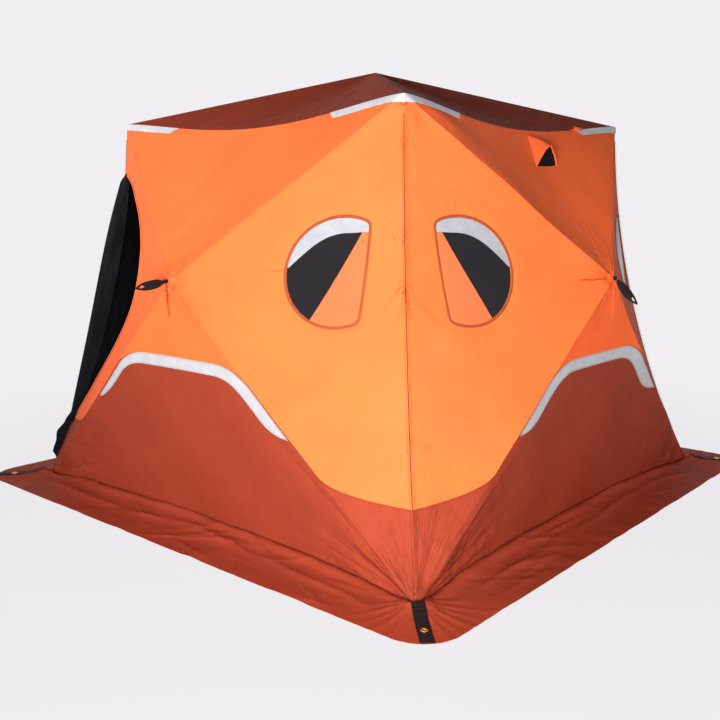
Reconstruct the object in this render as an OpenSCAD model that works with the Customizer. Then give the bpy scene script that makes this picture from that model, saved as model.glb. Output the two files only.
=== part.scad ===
// Pop-up hub shelter for ice fishing: a fabric shell stretched over a sprung pole frame.
// Millimetres, +Z up, origin on the ground below the roof's peak. The front wall faces -Y.
// Every wall is drawn as the front wall and turned about Z into its place.

/* [Overall] */
// Side of the square that the walls stand on
base_side = 2440; // [2300:10:2600]
// Side of the square between the top corners
top_side = 1760; // [1660:10:1860]
// Height of the four top corners
eave_height = 1790; // [1700:10:1900]
// Height of the roof's peak
peak_height = 2050; // [1980:10:2200]
// Distance between the hubs of opposite walls
hub_span = 2640; // [2580:10:2800]
// Height of the wall hubs
hub_height = 1080; // [1000:10:1150]

/* [Fabric] */
// Thickness of the coated fabric
fabric = 1; // [0.8:0.1:2]
// How far the eaves sag between the corners
eave_drop = 70; // [20:1:110]
// How far the eaves pull in between the corners
eave_in = 40; // [10:1:80]
// How far the corner seams pull in along the diagonal
seam_in = 105; // [40:1:140]
// How far the walls pull in along the ground
base_in = 60; // [20:1:100]
// Straight facets along each curved edge
edge_steps = 10; // [6:2:16]

/* [Skirt] */
// Width of the skirt that lies on the ground
skirt_width = 240; // [200:5:320]
// Radius of the skirt's outer corners
skirt_round = 165; // [60:5:190]
// How far the skirt runs in under the walls
skirt_tuck = 25; // [10:1:40]
// How far the corner gusset under a foot reaches in from the wall's corner
gusset_in = 80; // [75:1:120]

/* [Lower panels] */
// Distance of the lower panel's top edge below the hub
lower_drop = 325; // [230:5:430]
// Radius where the top edge bends down along the ridge
lower_round = 300; // [100:10:400]
// Height at which the lower panel's edge leaves the ridge
lower_ridge = 383; // [340:1:450]
// Height of the lower panel at the corner seams
lower_seam = 303; // [260:1:330]
// Width of the reflective tape along the top edge
tape_top = 52; // [30:1:80]
// Width of the reflective tape along the ridges
tape_side = 70; // [30:1:90]
// Width of the front tape's leg beside the doorway
tape_door = 32; // [15:1:60]
// Bare margin between the tape and the ridge
tape_margin = 8; // [4:1:30]
// Distance of the tape's lower ends below the top edge
tape_leg = 250; // [195:5:285]
// Thickness of the reflective tape
tape = 0.6; // [0.3:0.1:0.8]

/* [Eave tapes] */
// Length of an eave tape from the corner
eave_tape_length = 390; // [200:10:500]
// Width of an eave tape
eave_tape_width = 30; // [15:1:50]
// How much shorter the lower edge is than the upper edge
eave_tape_slant = 35; // [0:1:60]

/* [Windows] */
// Radius of a window's round side
window_r = 205; // [150:1:215]
// Distance from the centre to the window's straight side
window_flat = 90; // [60:1:110]
// Distance from the straight side to the corner seam
window_inset = 151; // [120:1:190]
// Height of the window's centre above the hub
window_rise = 52; // [20:1:80]
// Radius of the corners of the straight side
window_corner = 25; // [15:1:40]
// Width of the window's sewn binding
binding_width = 12; // [6:1:20]
// Thickness of the bindings
binding = 1.2; // [0.6:0.1:2]
// Thickness of the clear window film
film = 0.8; // [0.4:0.1:1.5]
// How far the film runs under the fabric
film_lap = 12; // [6:1:20]

/* [Doorway] */
// Distance of the doorway's top below the top corners
door_drop = 240; // [190:10:340]
// Height of the foot of the doorway
door_foot = 312; // [305:1:380]
// Height of the doorway's widest place above the hub
door_rise = 100; // [20:10:170]
// Distance from the wall's middle to the doorway's edge there
door_reach = 455; // [400:5:520]
// Fabric left between the doorway and the corner seam
door_hem = 30; // [20:1:50]
// Width of the zip binding round the doorway
zip_width = 16; // [10:1:25]

/* [Vent hoods] */
// Distance of a hood's tail from the eave
vent_start = 20; // [10:1:60]
// Length of a hood from its tail to its mouth
vent_length = 185; // [140:1:220]
// Width of a hood's mouth
vent_width = 185; // [120:1:240]
// Height of a hood's mouth
vent_height = 62; // [40:1:90]
// How far the top of the mouth is set back
vent_setback = 66; // [20:1:90]
// Distance of the hoods from the middle of the wall
vent_aside = 48; // [0:1:90]
// Radius of the vent hole under a hood
vent_hole_r = 32; // [20:1:34]

/* [Frame] */
// Diameter of the poles
pole_d = 11; // [8:0.5:13]
// Radial clearance of a pole in its socket
pole_clear = 0.15; // [0.1:0.05:0.3]
// Radius of a hub's disc
hub_r = 38; // [34:1:44]
// Thickness of a hub's disc
hub_disc = 24; // [18:1:28]
// Length of a pole socket from the hub's centre
socket_length = 72; // [60:1:90]
// Wall of a pole socket
socket_wall = 4; // [3:0.5:5]
// Distance of a pole's end from the centre of the fitting that holds it
pole_start = 22; // [20:1:28]
// Radius of a top corner cap
cap_r = 24; // [20:1:26]
// Radius of a corner foot
foot_r = 26; // [22:1:30]

/* [Straps] */
// Width of the anchor straps
anchor_width = 50; // [40:1:60]
// Thickness of the webbing
webbing = 3; // [2:0.5:5]
// Distance of an eyelet from the wall's corner, along each side
eyelet_out = 130; // [110:1:145]
// Radius of an eyelet's hole
eyelet_r = 6; // [4:0.5:8]
// Wall of an eyelet's barrel
eyelet_wall = 2; // [1:0.5:3]
// Width of an eyelet's flange outside the barrel
eyelet_flange = 6; // [3:0.5:8]
// Length of a pull strap
pull_length = 148; // [110:1:160]
// Width of a pull strap
pull_width = 38; // [28:1:45]
// Thickness of a pull strap, two layers sewn together
pull_thick = 4; // [3:0.5:6]
// Droop of the front and back pull straps, in degrees
pull_droop_front = 8; // [0:1:20]
// Droop of the side walls' pull straps, in degrees
pull_droop_side = 45; // [20:1:60]

/* [Hidden] */
$fn = 48;

orange = "#ee8443";
rust = "#b2492f";
black = "#2a2526";
silver = "#ccd1da";

FRONT = 0;
RIGHT = 1;
BACK = 2;
LEFT = 3;
walls = [FRONT, RIGHT, BACK, LEFT];
// Wall and side of each window, where side 1 is the right half seen from outside
windows = [[FRONT, 1], [RIGHT, -1], [RIGHT, 1], [BACK, -1], [BACK, 1], [LEFT, -1]];
vent_walls = [RIGHT, LEFT];

// Clearance where a piece only rests against another
seat = 0.3;
// Lengthens cutting prisms past what they cut
far = base_side;
// Makes the eave straighter near its corners than a plain bow
eave_shape = 1.5;
curve_steps = 10;
pole_r = pole_d / 2;
socket_r = pole_r + pole_clear + socket_wall;

// Centre of a hub's disc, inside the fabric's peak
hub_depth = 46;
roof_hub_depth = 42;
// Centre of a top corner cap, in from the fabric's corner
cap_in = 26;
cap_drop = 24;
cap_socket = 52;
// Centre of a corner foot, in from the wall's corner and above the ground
foot_in = 50;
foot_rise = 40;
foot_socket = 60;
nose_r = 12;
nose_tip_r = 3;

function mix(a, b, t) = a + (b - a) * t;
function bow(t) = 4 * t * (1 - t);
function unit(v) = v / norm(v);
function arc(c, r, from, to, steps) =
    [for (i = [0:steps]) let (a = mix(from, to, i / steps)) c + r * [cos(a), sin(a)]];
function bezier3(a, b, c, steps) =
    [for (i = [0:steps]) let (t = i / steps) mix(mix(a, b, t), mix(b, c, t), t)];
function bezier4(a, b, c, d, steps) =
    [for (i = [0:steps]) let (t = i / steps, p = mix(b, c, t))
        mix(mix(mix(a, b, t), p, t), mix(p, mix(c, d, t), t), t)];
function reversed(list) = [for (i = [len(list) - 1:-1:0]) list[i]];
function flipped(list) = [for (p = list) [-p[0], p[1]]];
function tail(list) = [for (i = [1:len(list) - 1]) list[i]];

// The four curved edges of the front wall, and the fabric's peak at its hub.
// Along a seam, v runs from 0 at the eave to 1 on the ground.
hub_peak = [0, -hub_span / 2, hub_height];
function seam_half(v) = mix(top_side, base_side, v) / 2 - seam_in / sqrt(2) * bow(v);
function seam_point(side, v) = [side * seam_half(v), -seam_half(v), eave_height * (1 - v)];
function seam_x(z) = seam_half(1 - z / eave_height);
function eave_sag(t) = pow(bow(t), eave_shape);
function eave_point(t) = [
    mix(-top_side, top_side, t) / 2,
    -top_side / 2 + eave_in * eave_sag(t),
    eave_height - eave_drop * eave_sag(t)
];
function base_point(t) = [mix(-base_side, base_side, t) / 2, -base_side / 2 + base_in * bow(t), 0];

// The wall's outline, clockwise as seen from outside, from its top left corner.
steps = [for (i = [0:edge_steps - 1]) i / edge_steps];
wall_edge = concat(
    [for (t = steps) eave_point(t)],
    [for (t = steps) seam_point(1, t)],
    [for (t = steps) base_point(1 - t)],
    [for (t = steps) seam_point(-1, 1 - t)]
);
edge_count = len(wall_edge);
function on_seam(i) = i == 0 || (i >= edge_steps && i <= 2 * edge_steps) || i >= 3 * edge_steps;
// A point of the outline moved inwards by y, and kept on the corner's mitre plane.
function edge_moved(i, y) =
    let (p = wall_edge[i])
    p + [0, y, 0] + (on_seam(i) ? 2 * y / hub_span * (hub_peak - p) : [0, 0, 0]);

// The layer of a wall between two depths behind its outer surface: fans of fabric from the hub to the
// stretch of its outline between two points, or all round.
module wall_layer(from, to, first = 0, last = edge_count) {
    closed = last - first == edge_count;
    ids = [for (i = [first:closed ? last - 1 : last]) i];
    n = len(ids);
    points = concat(
        [hub_peak + [0, from, 0], hub_peak + [0, to, 0]],
        [for (i = ids) edge_moved(i, from)],
        [for (i = ids) edge_moved(i, to)]
    );
    skin = [for (i = [0:closed ? n - 1 : n - 2]) let (
            a = 2 + i, b = 2 + (i + 1) % n, c = 2 + n + i, d = 2 + n + (i + 1) % n)
        each [[0, a, b], [1, d, c], [b, a, c], [b, c, d]]];
    ends = closed ? [] : [[2, 0, 1], [2, 1, 2 + n], [0, 1 + n, 1 + 2 * n], [0, 1 + 2 * n, 1]];
    polyhedron(points, concat(skin, ends), convexity = 6);
}

// Cuts an outline, drawn in the wall's plane as x and height, through the wall.
module through_wall() {
    rotate([90, 0, 0]) linear_extrude(2 * far, center = true) children();
}

module on_wall(k) {
    rotate([0, 0, 90 * k]) children();
}

module on_side(side) {
    mirror([side < 0 ? 1 : 0, 0, 0]) children();
}

// Part of a wall's layer inside an outline.
module wall_piece(from, to) {
    intersection() {
        wall_layer(from, to);
        through_wall() children();
    }
}

// Outlines in the wall's plane, right half where a piece has a side.
hub_2d = [0, hub_height];
top_ray = [top_side / 2, eave_height] - hub_2d;
ridge_turn = atan2(hub_height, base_side / 2);
function ridge_x(z) = (hub_height - z) * base_side / 2 / hub_height;

// The bend from a level edge down to a line beside the ridge.
function bend(top, inset, round) =
    let (corner_x = ridge_x(top) - inset / sin(ridge_turn), reach = round * tan(ridge_turn / 2))
    arc([corner_x - reach, top - round], round, 90, 90 - ridge_turn, curve_steps);

lower_top = hub_height - lower_drop;
tape_end = lower_top - tape_leg;
lower_bend = bend(lower_top, 0, lower_round);
lower_leave = [ridge_x(lower_ridge), lower_ridge];
lower_meet = [seam_x(lower_seam), lower_seam];
lower_sweep = bezier3(lower_leave,
    [mix(lower_leave[0], lower_meet[0], 0.25), mix(lower_leave[1], lower_meet[1], 0.72)],
    lower_meet, curve_steps);
lower_half = concat(lower_bend, lower_sweep, [[far, lower_seam], [far, fabric]]);

module side_outline() {
    polygon(concat([hub_2d, hub_2d + 1.5 * top_ray, [far, lower_seam]], reversed(lower_sweep)));
}

module center_outline() {
    polygon(concat([hub_2d], reversed(lower_bend), flipped(lower_bend)));
}

module lower_outline() {
    polygon(concat(lower_half, reversed(flipped(lower_half))));
}

// A point beside the ridge at a height.
function beside_ridge(inset, z) = [ridge_x(z) - inset / sin(ridge_turn), z];

// The tape's inner edge, which runs out to a tip on its outer edge over a share of the leg.
function tape_inner(width, share) =
    let (inset = tape_margin + width)
    concat(bend(lower_top - tape_top, inset, lower_round - tape_top),
        bezier3(beside_ridge(inset, tape_end + share * tape_leg), beside_ridge(inset, tape_end), tape_tip, 8));

tape_tip = beside_ridge(tape_margin, tape_end);
tape_outer = concat(bend(lower_top, tape_margin, lower_round), [tape_tip]);
tape_broad = tape_inner(tape_side, 0.22);
tape_slim = tape_inner(tape_door, 0.5);

// The tape of a wall. Its leg beside the doorway is slimmer.
module tape_outline(k) {
    left = k == FRONT ? tape_slim : tape_broad;
    polygon(concat(reversed(flipped(tape_outer)), tape_outer,
        tail(reversed(tape_broad)), flipped(reversed(tail(reversed(left))))));
}

module eave_tape_outline() {
    inner_x = top_side / 2 - eave_tape_length;
    xs = [for (i = [0:curve_steps]) mix(inner_x + eave_tape_slant, top_side / 2 - 2 * tape, i / curve_steps)];
    below = [for (x = xs) [x, eave_point(0.5 + x / top_side)[2] - eave_tape_width]];
    polygon(concat(below, [[top_side / 2 - 2 * tape, far], [inner_x, far], [inner_x, below[0][1] + eave_tape_width]]));
}

// A circle cut by a straight side, with both corners rounded, grown by g all round.
window_z = hub_height + window_rise;
window_x = seam_x(window_z) - window_inset - window_flat;
module window_outline(g = 0) {
    r = window_r + g;
    corner = window_corner + g;
    cx = window_flat + g - corner;
    cz = sqrt(pow(r - corner, 2) - cx * cx);
    turn = atan2(cz, cx);
    translate([window_x, window_z]) polygon(concat(
        arc([cx, cz], corner, 0, turn, 6),
        tail(arc([0, 0], r, turn, 360 - turn, 36)),
        tail(arc([cx, -cz], corner, 360 - turn, 360, 6))
    ));
}

// The reflective tape across the top of a window, with its curved lower edge.
window_tape_top = window_z + 0.72 * window_r;
window_tape_low = window_z + 0.03 * window_r;
module window_tape_outline() {
    from = [window_x + 0.1 * window_r, window_tape_top];
    to = [window_x - window_r, window_tape_low];
    edge = bezier4(from, [window_x - 0.35 * window_r, from[1]],
        [window_x - 0.6 * window_r, window_z + 0.46 * window_r], to, curve_steps);
    polygon(concat([[far, window_tape_top]], edge, [[0, window_tape_low], [0, far], [far, far]]));
}

// The fabric shade behind the pane, beside the straight side.
module window_shade_outline() {
    polygon([
        [window_x + 0.32 * window_r, window_tape_top],
        [window_x - 0.37 * window_r, window_z - 0.75 * window_r],
        [window_x - 0.37 * window_r, 0], [far, 0], [far, window_tape_top]
    ]);
}

// The doorway's free edge, from the corner seam at its top to the seam at its foot.
door_top = eave_height - door_drop;
door_waist = hub_height + door_rise;
door_head = [seam_x(door_top) - door_hem, door_top];
door_side = [door_reach, door_waist];
door_toe = [seam_x(door_foot) - door_hem, door_foot];
door_edge = concat(
    bezier4(door_head, [mix(door_head[0], door_reach, 0.36), mix(door_top, door_waist, 0.08)],
        [door_reach, mix(door_top, door_waist, 0.68)], door_side, curve_steps),
    tail(bezier4(door_side, [door_reach, mix(door_waist, door_foot, 0.25)],
        [mix(door_reach, door_toe[0], 0.42), mix(door_waist, door_foot, 0.6)], door_toe, curve_steps))
);
door_hem_edge = [for (i = [0:curve_steps]) let (z = mix(door_foot, door_top, i / curve_steps))
    [seam_x(z) - door_hem, z]];

module door_outline() {
    polygon(concat(door_edge, tail(door_hem_edge)));
}

module flap_outline() {
    polygon(concat(door_edge, [[far, door_foot], [far, door_top]]));
}

module flap_hem_outline() {
    polygon(concat(door_hem_edge, [[far, door_top], [far, door_foot]]));
}

function beside(list, d) = [for (i = [0:len(list) - 1])
    let (a = list[max(i - 1, 0)], b = list[min(i + 1, len(list) - 1)], u = unit(b - a))
    list[i] + d * [u[1], -u[0]]];

module zip_outline() {
    polygon(concat(beside(door_edge, -seat), reversed(beside(door_edge, -zip_width))));
}

// Fabric panels

module wall_top_panel(k) {
    color(orange) on_wall(k) difference() {
        wall_layer(0, fabric, 0, edge_steps);
        if (len(search(k, vent_walls)) > 0)
            through_wall() translate([vent_aside, vent_hole_z]) circle(vent_hole_r);
    }
}

function has_window(k, side) = len([for (w = windows) if (w[0] == k && w[1] == side) w]) > 0;

module wall_side_panel(k, side) {
    color(orange) on_wall(k) on_side(side) difference() {
        wall_piece(0, fabric) side_outline();
        if (has_window(k, side)) through_wall() window_outline();
        if (k == FRONT && side < 0) through_wall() door_outline();
    }
}

module wall_lower_panel(k) {
    color(rust) on_wall(k) wall_piece(0, fabric) lower_outline();
}

module front_wall_top_panel() { wall_top_panel(FRONT); }
module right_wall_top_panel() { wall_top_panel(RIGHT); }
module back_wall_top_panel() { wall_top_panel(BACK); }
module left_wall_top_panel() { wall_top_panel(LEFT); }
module front_wall_left_panel() { wall_side_panel(FRONT, -1); }
module right_wall_left_panel() { wall_side_panel(RIGHT, -1); }
module back_wall_left_panel() { wall_side_panel(BACK, -1); }
module left_wall_left_panel() { wall_side_panel(LEFT, -1); }
module front_wall_right_panel() { wall_side_panel(FRONT, 1); }
module right_wall_right_panel() { wall_side_panel(RIGHT, 1); }
module back_wall_right_panel() { wall_side_panel(BACK, 1); }
module left_wall_right_panel() { wall_side_panel(LEFT, 1); }
module front_wall_lower_panel() { wall_lower_panel(FRONT); }
module right_wall_lower_panel() { wall_lower_panel(RIGHT); }
module back_wall_lower_panel() { wall_lower_panel(BACK); }
module left_wall_lower_panel() { wall_lower_panel(LEFT); }

module wall_center_panels() {
    color(orange) for (k = walls) on_wall(k) wall_piece(0, fabric) center_outline();
}

// A quarter of the roof: a fan from the peak down to the eave, lying on the wall's top edge.
module roof_panel(k) {
    n = edge_steps;
    peak = [0, 0, peak_height];
    edge = [for (i = [0:n]) eave_point(i / n)];
    lift = [0, 0, fabric];
    points = concat([peak + lift, peak], [for (p = edge) p + lift], edge);
    top = [for (i = [0:n - 1]) [0, 3 + i, 2 + i]];
    under = [for (i = [0:n - 1]) [1, 3 + n + i, 4 + n + i]];
    rim = [for (i = [0:n - 1]) each [[2 + i, 3 + i, 4 + n + i], [2 + i, 4 + n + i, 3 + n + i]]];
    hips = [[0, 2, 3 + n], [0, 3 + n, 1], [0, 1, 3 + 2 * n], [0, 3 + 2 * n, 2 + n]];
    color(rust) on_wall(k) polyhedron(points, concat(top, under, rim, hips), convexity = 4);
}

module roof_front_panel() { roof_panel(FRONT); }
module roof_right_panel() { roof_panel(RIGHT); }
module roof_back_panel() { roof_panel(BACK); }
module roof_left_panel() { roof_panel(LEFT); }

// A quarter of the skirt, mitred on the diagonals, with a gusset under the feet at its ends.
module skirt(k) {
    half = base_side / 2;
    outer = half + skirt_width;
    round_c = outer - skirt_round;
    gusset = half - gusset_in;
    inner = [for (i = [0:2 * curve_steps]) let (p = base_point(i / 2 / curve_steps))
        if (abs(p[0]) < gusset - gusset_in + skirt_tuck) [p[0], p[1] + skirt_tuck]];
    knee = [gusset - gusset_in + skirt_tuck, -half + skirt_tuck];
    corner = arc([round_c, -round_c], skirt_round, -90, -45, curve_steps);
    color(rust) on_wall(k) difference() {
        linear_extrude(fabric) polygon(concat(
            reversed(flipped(corner)), corner,
            [[gusset, -gusset], knee], reversed(inner), [[-knee[0], knee[1]], [-gusset, -gusset]]
        ));
        for (side = [-1, 1]) translate([side * (half + eyelet_out), -half - eyelet_out, -1])
            cylinder(h = fabric + 2, r = eyelet_rim + seat);
    }
}

module front_skirt() { skirt(FRONT); }
module right_skirt() { skirt(RIGHT); }
module back_skirt() { skirt(BACK); }
module left_skirt() { skirt(LEFT); }

// Trim on the walls

module lower_tapes() {
    color(silver) for (k = walls) on_wall(k) wall_piece(-tape, 0) tape_outline(k);
}

module eave_tapes() {
    color(silver) for (k = walls) on_wall(k) for (side = [-1, 1]) on_side(side)
        wall_piece(-tape, 0) eave_tape_outline();
}

module each_window() {
    for (w = windows) on_wall(w[0]) on_side(w[1]) children();
}

module window_panes() {
    color("#3a3a40") each_window() wall_piece(fabric, fabric + film) window_outline(film_lap);
}

module window_bindings() {
    color(rust) each_window() difference() {
        wall_piece(-binding, 0) window_outline(binding_width);
        through_wall() window_outline();
    }
}

module window_tapes() {
    color(silver) each_window() intersection() {
        wall_piece(fabric - tape, fabric) window_outline(-seat);
        through_wall() window_tape_outline();
    }
}

module window_shades() {
    color(orange) each_window() intersection() {
        wall_piece(fabric + film, 2 * fabric + film) window_outline();
        through_wall() window_shade_outline();
    }
}

// The middle line of a wall's top fan, for the vent hoods.
eave_middle = eave_point(0.5);
vent_up = unit(eave_middle - hub_peak);
vent_out = [0, -vent_up[2], vent_up[1]];
vent_mouth = eave_middle - (vent_start + vent_length) * vent_up;
vent_hole_z = (vent_mouth + vent_setback * vent_up)[2];

// A hood like a pushed-up fold: a fan from its tail to the arch of its mouth.
module vent_hood() {
    n = curve_steps;
    sink = 4 * fabric;
    tail_point = vent_mouth + [vent_aside, 0, 0] + vent_length * vent_up - sink * vent_out;
    arch = [for (i = [0:n]) let (s = mix(-1, 1, i / n), rise = 1 - pow(abs(s), 1.6))
        vent_mouth + [vent_aside + s * vent_width / 2, 0, 0] + vent_setback * rise * vent_up
            + (mix(-sink, vent_height, rise)) * vent_out];
    skin = 1.5 * fabric * vent_out;
    points = concat([tail_point + skin, tail_point], [for (p = arch) p + skin], arch);
    top = [for (i = [0:n - 1]) [0, 3 + i, 2 + i]];
    under = [for (i = [0:n - 1]) [1, 3 + n + i, 4 + n + i]];
    mouth = [for (i = [0:n - 1]) each [[2 + i, 3 + i, 4 + n + i], [2 + i, 4 + n + i, 3 + n + i]]];
    sides = [[0, 2, 3 + n], [0, 3 + n, 1], [0, 1, 3 + 2 * n], [0, 3 + 2 * n, 2 + n]];
    intersection() {
        polyhedron(points, concat(top, under, mouth, sides), convexity = 4);
        wall_layer(-2 * vent_height, 0);
    }
}

module vent_hoods() {
    color(orange) for (k = vent_walls) on_wall(k) vent_hood();
}

// The door's flap, folded back round the corner seam onto the left wall, its lining outwards.
module door_flap() {
    color(black) {
        on_wall(FRONT) on_side(-1) wall_piece(-seat - fabric, -seat) flap_hem_outline();
        on_wall(LEFT) wall_piece(-seat - fabric, -seat) flap_outline();
    }
}

module door_binding() {
    color(orange) on_wall(FRONT) on_side(-1) wall_piece(-binding, 0) zip_outline();
}

// Pole frame

function turned(p, k) = [
    p[0] * cos(90 * k) - p[1] * sin(90 * k), p[0] * sin(90 * k) + p[1] * cos(90 * k), p[2]];

hub_centre = hub_peak + [0, hub_depth, 0];
roof_hub_centre = [0, 0, peak_height - roof_hub_depth];
cap_centre = [top_side / 2 - cap_in, -top_side / 2 + cap_in, eave_height - cap_drop];
foot_centre = [base_side / 2 - foot_in, -base_side / 2 + foot_in, foot_rise];
caps = [for (k = walls) turned(cap_centre, k)];
feet = [for (k = walls) turned(foot_centre, k)];
hubs = [for (k = walls) turned(hub_centre, k)];

module rod(from, to, r) {
    d = to - from;
    translate(from) rotate([0, acos(d[2] / norm(d)), atan2(d[1], d[0])]) cylinder(h = norm(d), r = r);
}

module pole(from, to) {
    u = unit(to - from);
    rod(from + pole_start * u, to - pole_start * u, pole_r);
}

// A fitting's body with a blind socket towards each pole that it holds.
module socketed(centre, others, length) {
    difference() {
        union() {
            children();
            for (p = others) rod(centre, centre + length * unit(p - centre), socket_r);
        }
        for (p = others) let (u = unit(p - centre))
            rod(centre + (pole_start - seat) * u, centre + 2 * length * u, pole_r + pole_clear);
    }
}

module wall_poles() {
    color("#77736c") for (k = walls) {
        for (corner = [caps[k], caps[(k + 3) % 4], feet[k], feet[(k + 3) % 4]]) pole(hubs[k], corner);
    }
}

module roof_poles() {
    color("#77736c") for (corner = caps) pole(roof_hub_centre, corner);
}

// Steepness of the fabric's peaks at the hubs, as depth for each unit aside.
wall_peak_slope = (hub_span / 2 + eave_middle[1]) / (eave_middle[2] - hub_height);
roof_peak_slope = (peak_height - eave_middle[2]) / -eave_middle[1];

// A disc with a blunt nose that pushes the fabric's peak out, along +Z from its centre.
module hub_body(depth, slope) {
    tip = depth - seat - slope * nose_tip_r;
    nose = nose_r - nose_tip_r;
    cylinder(h = hub_disc, r = hub_r, center = true);
    translate([0, 0, tip - nose]) cylinder(h = nose, r1 = nose_r, r2 = nose_tip_r);
    cylinder(h = tip - nose, r = nose_r);
}

module wall_hubs() {
    color(black) for (k = walls) on_wall(k)
        socketed(hub_centre, [caps[0], caps[3], feet[0], feet[3]], socket_length)
            translate(hub_centre) rotate([90, 0, 0]) hub_body(hub_depth - fabric, wall_peak_slope);
}

module roof_hub() {
    color(black) socketed(roof_hub_centre, caps, socket_length)
        translate(roof_hub_centre) hub_body(roof_hub_depth, roof_peak_slope);
}

module top_corner_caps() {
    color(black) for (k = walls) on_wall(k)
        socketed(cap_centre, [hubs[0], hubs[1], roof_hub_centre], cap_socket)
            translate(cap_centre) sphere(cap_r);
}

module corner_feet() {
    color(black) for (k = walls) on_wall(k)
        socketed(foot_centre, [hubs[0], hubs[1]], foot_socket) translate(foot_centre) {
            sphere(foot_r);
            translate([0, 0, fabric - foot_rise]) cylinder(h = foot_rise - fabric, r = foot_r);
        }
}

// Straps and eyelets

eyelet_barrel = eyelet_r + eyelet_wall;
eyelet_rim = eyelet_barrel + eyelet_flange;
eyelet_sheet = 1.2;
skirt_tip = sqrt(2) * (skirt_width - skirt_round) + skirt_round;

module at_corner(k) {
    on_wall(k) translate([base_side / 2, -base_side / 2, 0]) rotate([0, 0, -45]) children();
}

module anchor_straps() {
    start = anchor_width / 5;
    end = skirt_tip - anchor_width / 10;
    color(black) for (k = walls) at_corner(k) difference() {
        translate([start, -anchor_width / 2, fabric]) cube([end - start, anchor_width, webbing]);
        translate([sqrt(2) * eyelet_out, 0, 0]) cylinder(h = fabric + webbing + 1, r = eyelet_barrel + pole_clear);
    }
}

module eyelets() {
    top = fabric + webbing;
    color("#c79a4b") for (k = walls) at_corner(k) translate([sqrt(2) * eyelet_out, 0, 0]) difference() {
        union() {
            cylinder(h = fabric, r = eyelet_rim);
            cylinder(h = top, r = eyelet_barrel);
            translate([0, 0, top]) cylinder(h = eyelet_sheet, r = eyelet_rim);
        }
        translate([0, 0, -1]) cylinder(h = top + eyelet_sheet + 2, r = eyelet_r);
    }
}

// A pull strap's side, along +X from the round knot at its root: two layers of webbing sewn together.
module pull_outline() {
    half = pull_width / 2;
    circle(pull_root);
    polygon([
        [0, -pull_root], [0.12 * pull_length, -pull_root], [0.32 * pull_length, -half],
        [0.75 * pull_length, -half], [pull_length, -0.15 * half], [pull_length, 0.15 * half],
        [0.75 * pull_length, half], [0.32 * pull_length, half],
        [0.12 * pull_length, pull_root], [0, pull_root]
    ]);
}

pull_root = 8;
pull_centre = hub_peak - [0, seat + pull_root, 0];
module pull_straps() {
    color(black) for (k = walls) on_wall(k) translate(pull_centre)
        rotate([0, 0, -90]) rotate([90, 0, 0])
            rotate([0, 0, k % 2 == 0 ? -pull_droop_front : -pull_droop_side])
                linear_extrude(pull_thick, center = true) pull_outline();
}

// A short guy cord hanging from the knot of the front pull strap.
cord_d = 5;
cord_route = [
    [0, -1328, 1071], [0, -1328, 1062], [1, -1328, 1053], [1, -1329, 1044], [2, -1329, 1035],
    [3, -1329, 1026], [4, -1330, 1017], [5, -1330, 1008], [6, -1330, 999], [8, -1331, 990],
    [9, -1331, 981], [11, -1331, 972], [12, -1332, 963], [14, -1332, 954], [16, -1332, 945], [18, -1332, 936]
];

module guy_cord() {
    sides = 8;
    n = len(cord_route);
    points = [for (p = cord_route) for (i = [0:sides - 1])
        p + cord_d / 2 * [cos(360 * i / sides), sin(360 * i / sides), 0]];
    skin = [for (r = [0:n - 2]) for (i = [0:sides - 1]) let (
            a = r * sides + i, b = r * sides + (i + 1) % sides)
        each [[a, b, b + sides], [a, b + sides, a + sides]]];
    ends = [[for (i = [sides - 1:-1:0]) i], [for (i = [0:sides - 1]) (n - 1) * sides + i]];
    color("#e0562e") polyhedron(points, concat(skin, ends), convexity = 4);
}

roof_front_panel();
roof_right_panel();
roof_back_panel();
roof_left_panel();
front_wall_top_panel();
right_wall_top_panel();
back_wall_top_panel();
left_wall_top_panel();
front_wall_left_panel();
right_wall_left_panel();
back_wall_left_panel();
left_wall_left_panel();
front_wall_right_panel();
right_wall_right_panel();
back_wall_right_panel();
left_wall_right_panel();
front_wall_lower_panel();
right_wall_lower_panel();
back_wall_lower_panel();
left_wall_lower_panel();
wall_center_panels();
front_skirt();
right_skirt();
back_skirt();
left_skirt();
wall_poles();
roof_poles();
wall_hubs();
roof_hub();
top_corner_caps();
corner_feet();
lower_tapes();
eave_tapes();
window_panes();
window_bindings();
window_tapes();
window_shades();
vent_hoods();
door_flap();
door_binding();
anchor_straps();
eyelets();
pull_straps();
guy_cord();
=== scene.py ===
"""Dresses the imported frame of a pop-up ice fishing shelter with fabric, trim and a studio."""

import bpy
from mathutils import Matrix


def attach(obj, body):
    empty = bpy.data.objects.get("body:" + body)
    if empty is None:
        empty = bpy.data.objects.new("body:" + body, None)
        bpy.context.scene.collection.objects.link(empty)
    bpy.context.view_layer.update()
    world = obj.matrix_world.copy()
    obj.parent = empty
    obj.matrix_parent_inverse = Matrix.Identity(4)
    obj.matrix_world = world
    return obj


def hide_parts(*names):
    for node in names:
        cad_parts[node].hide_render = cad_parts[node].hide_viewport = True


bl_info = {
    "name": "Pop-up ice fishing shelter",
    "version": (1, 0, 0),
    "blender": (4, 5, 0),
    "location": "View3D > Sidebar > Shelter",
    "description": "Stretched fabric panels, trim, windows, doorway and straps around the CAD frame",
    "category": "Object",
}

import math

import bpy
import numpy as np
from bpy.props import FloatProperty, FloatVectorProperty, PointerProperty
from mathutils import Matrix, Vector
from mathutils.geometry import delaunay_2d_cdt

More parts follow.
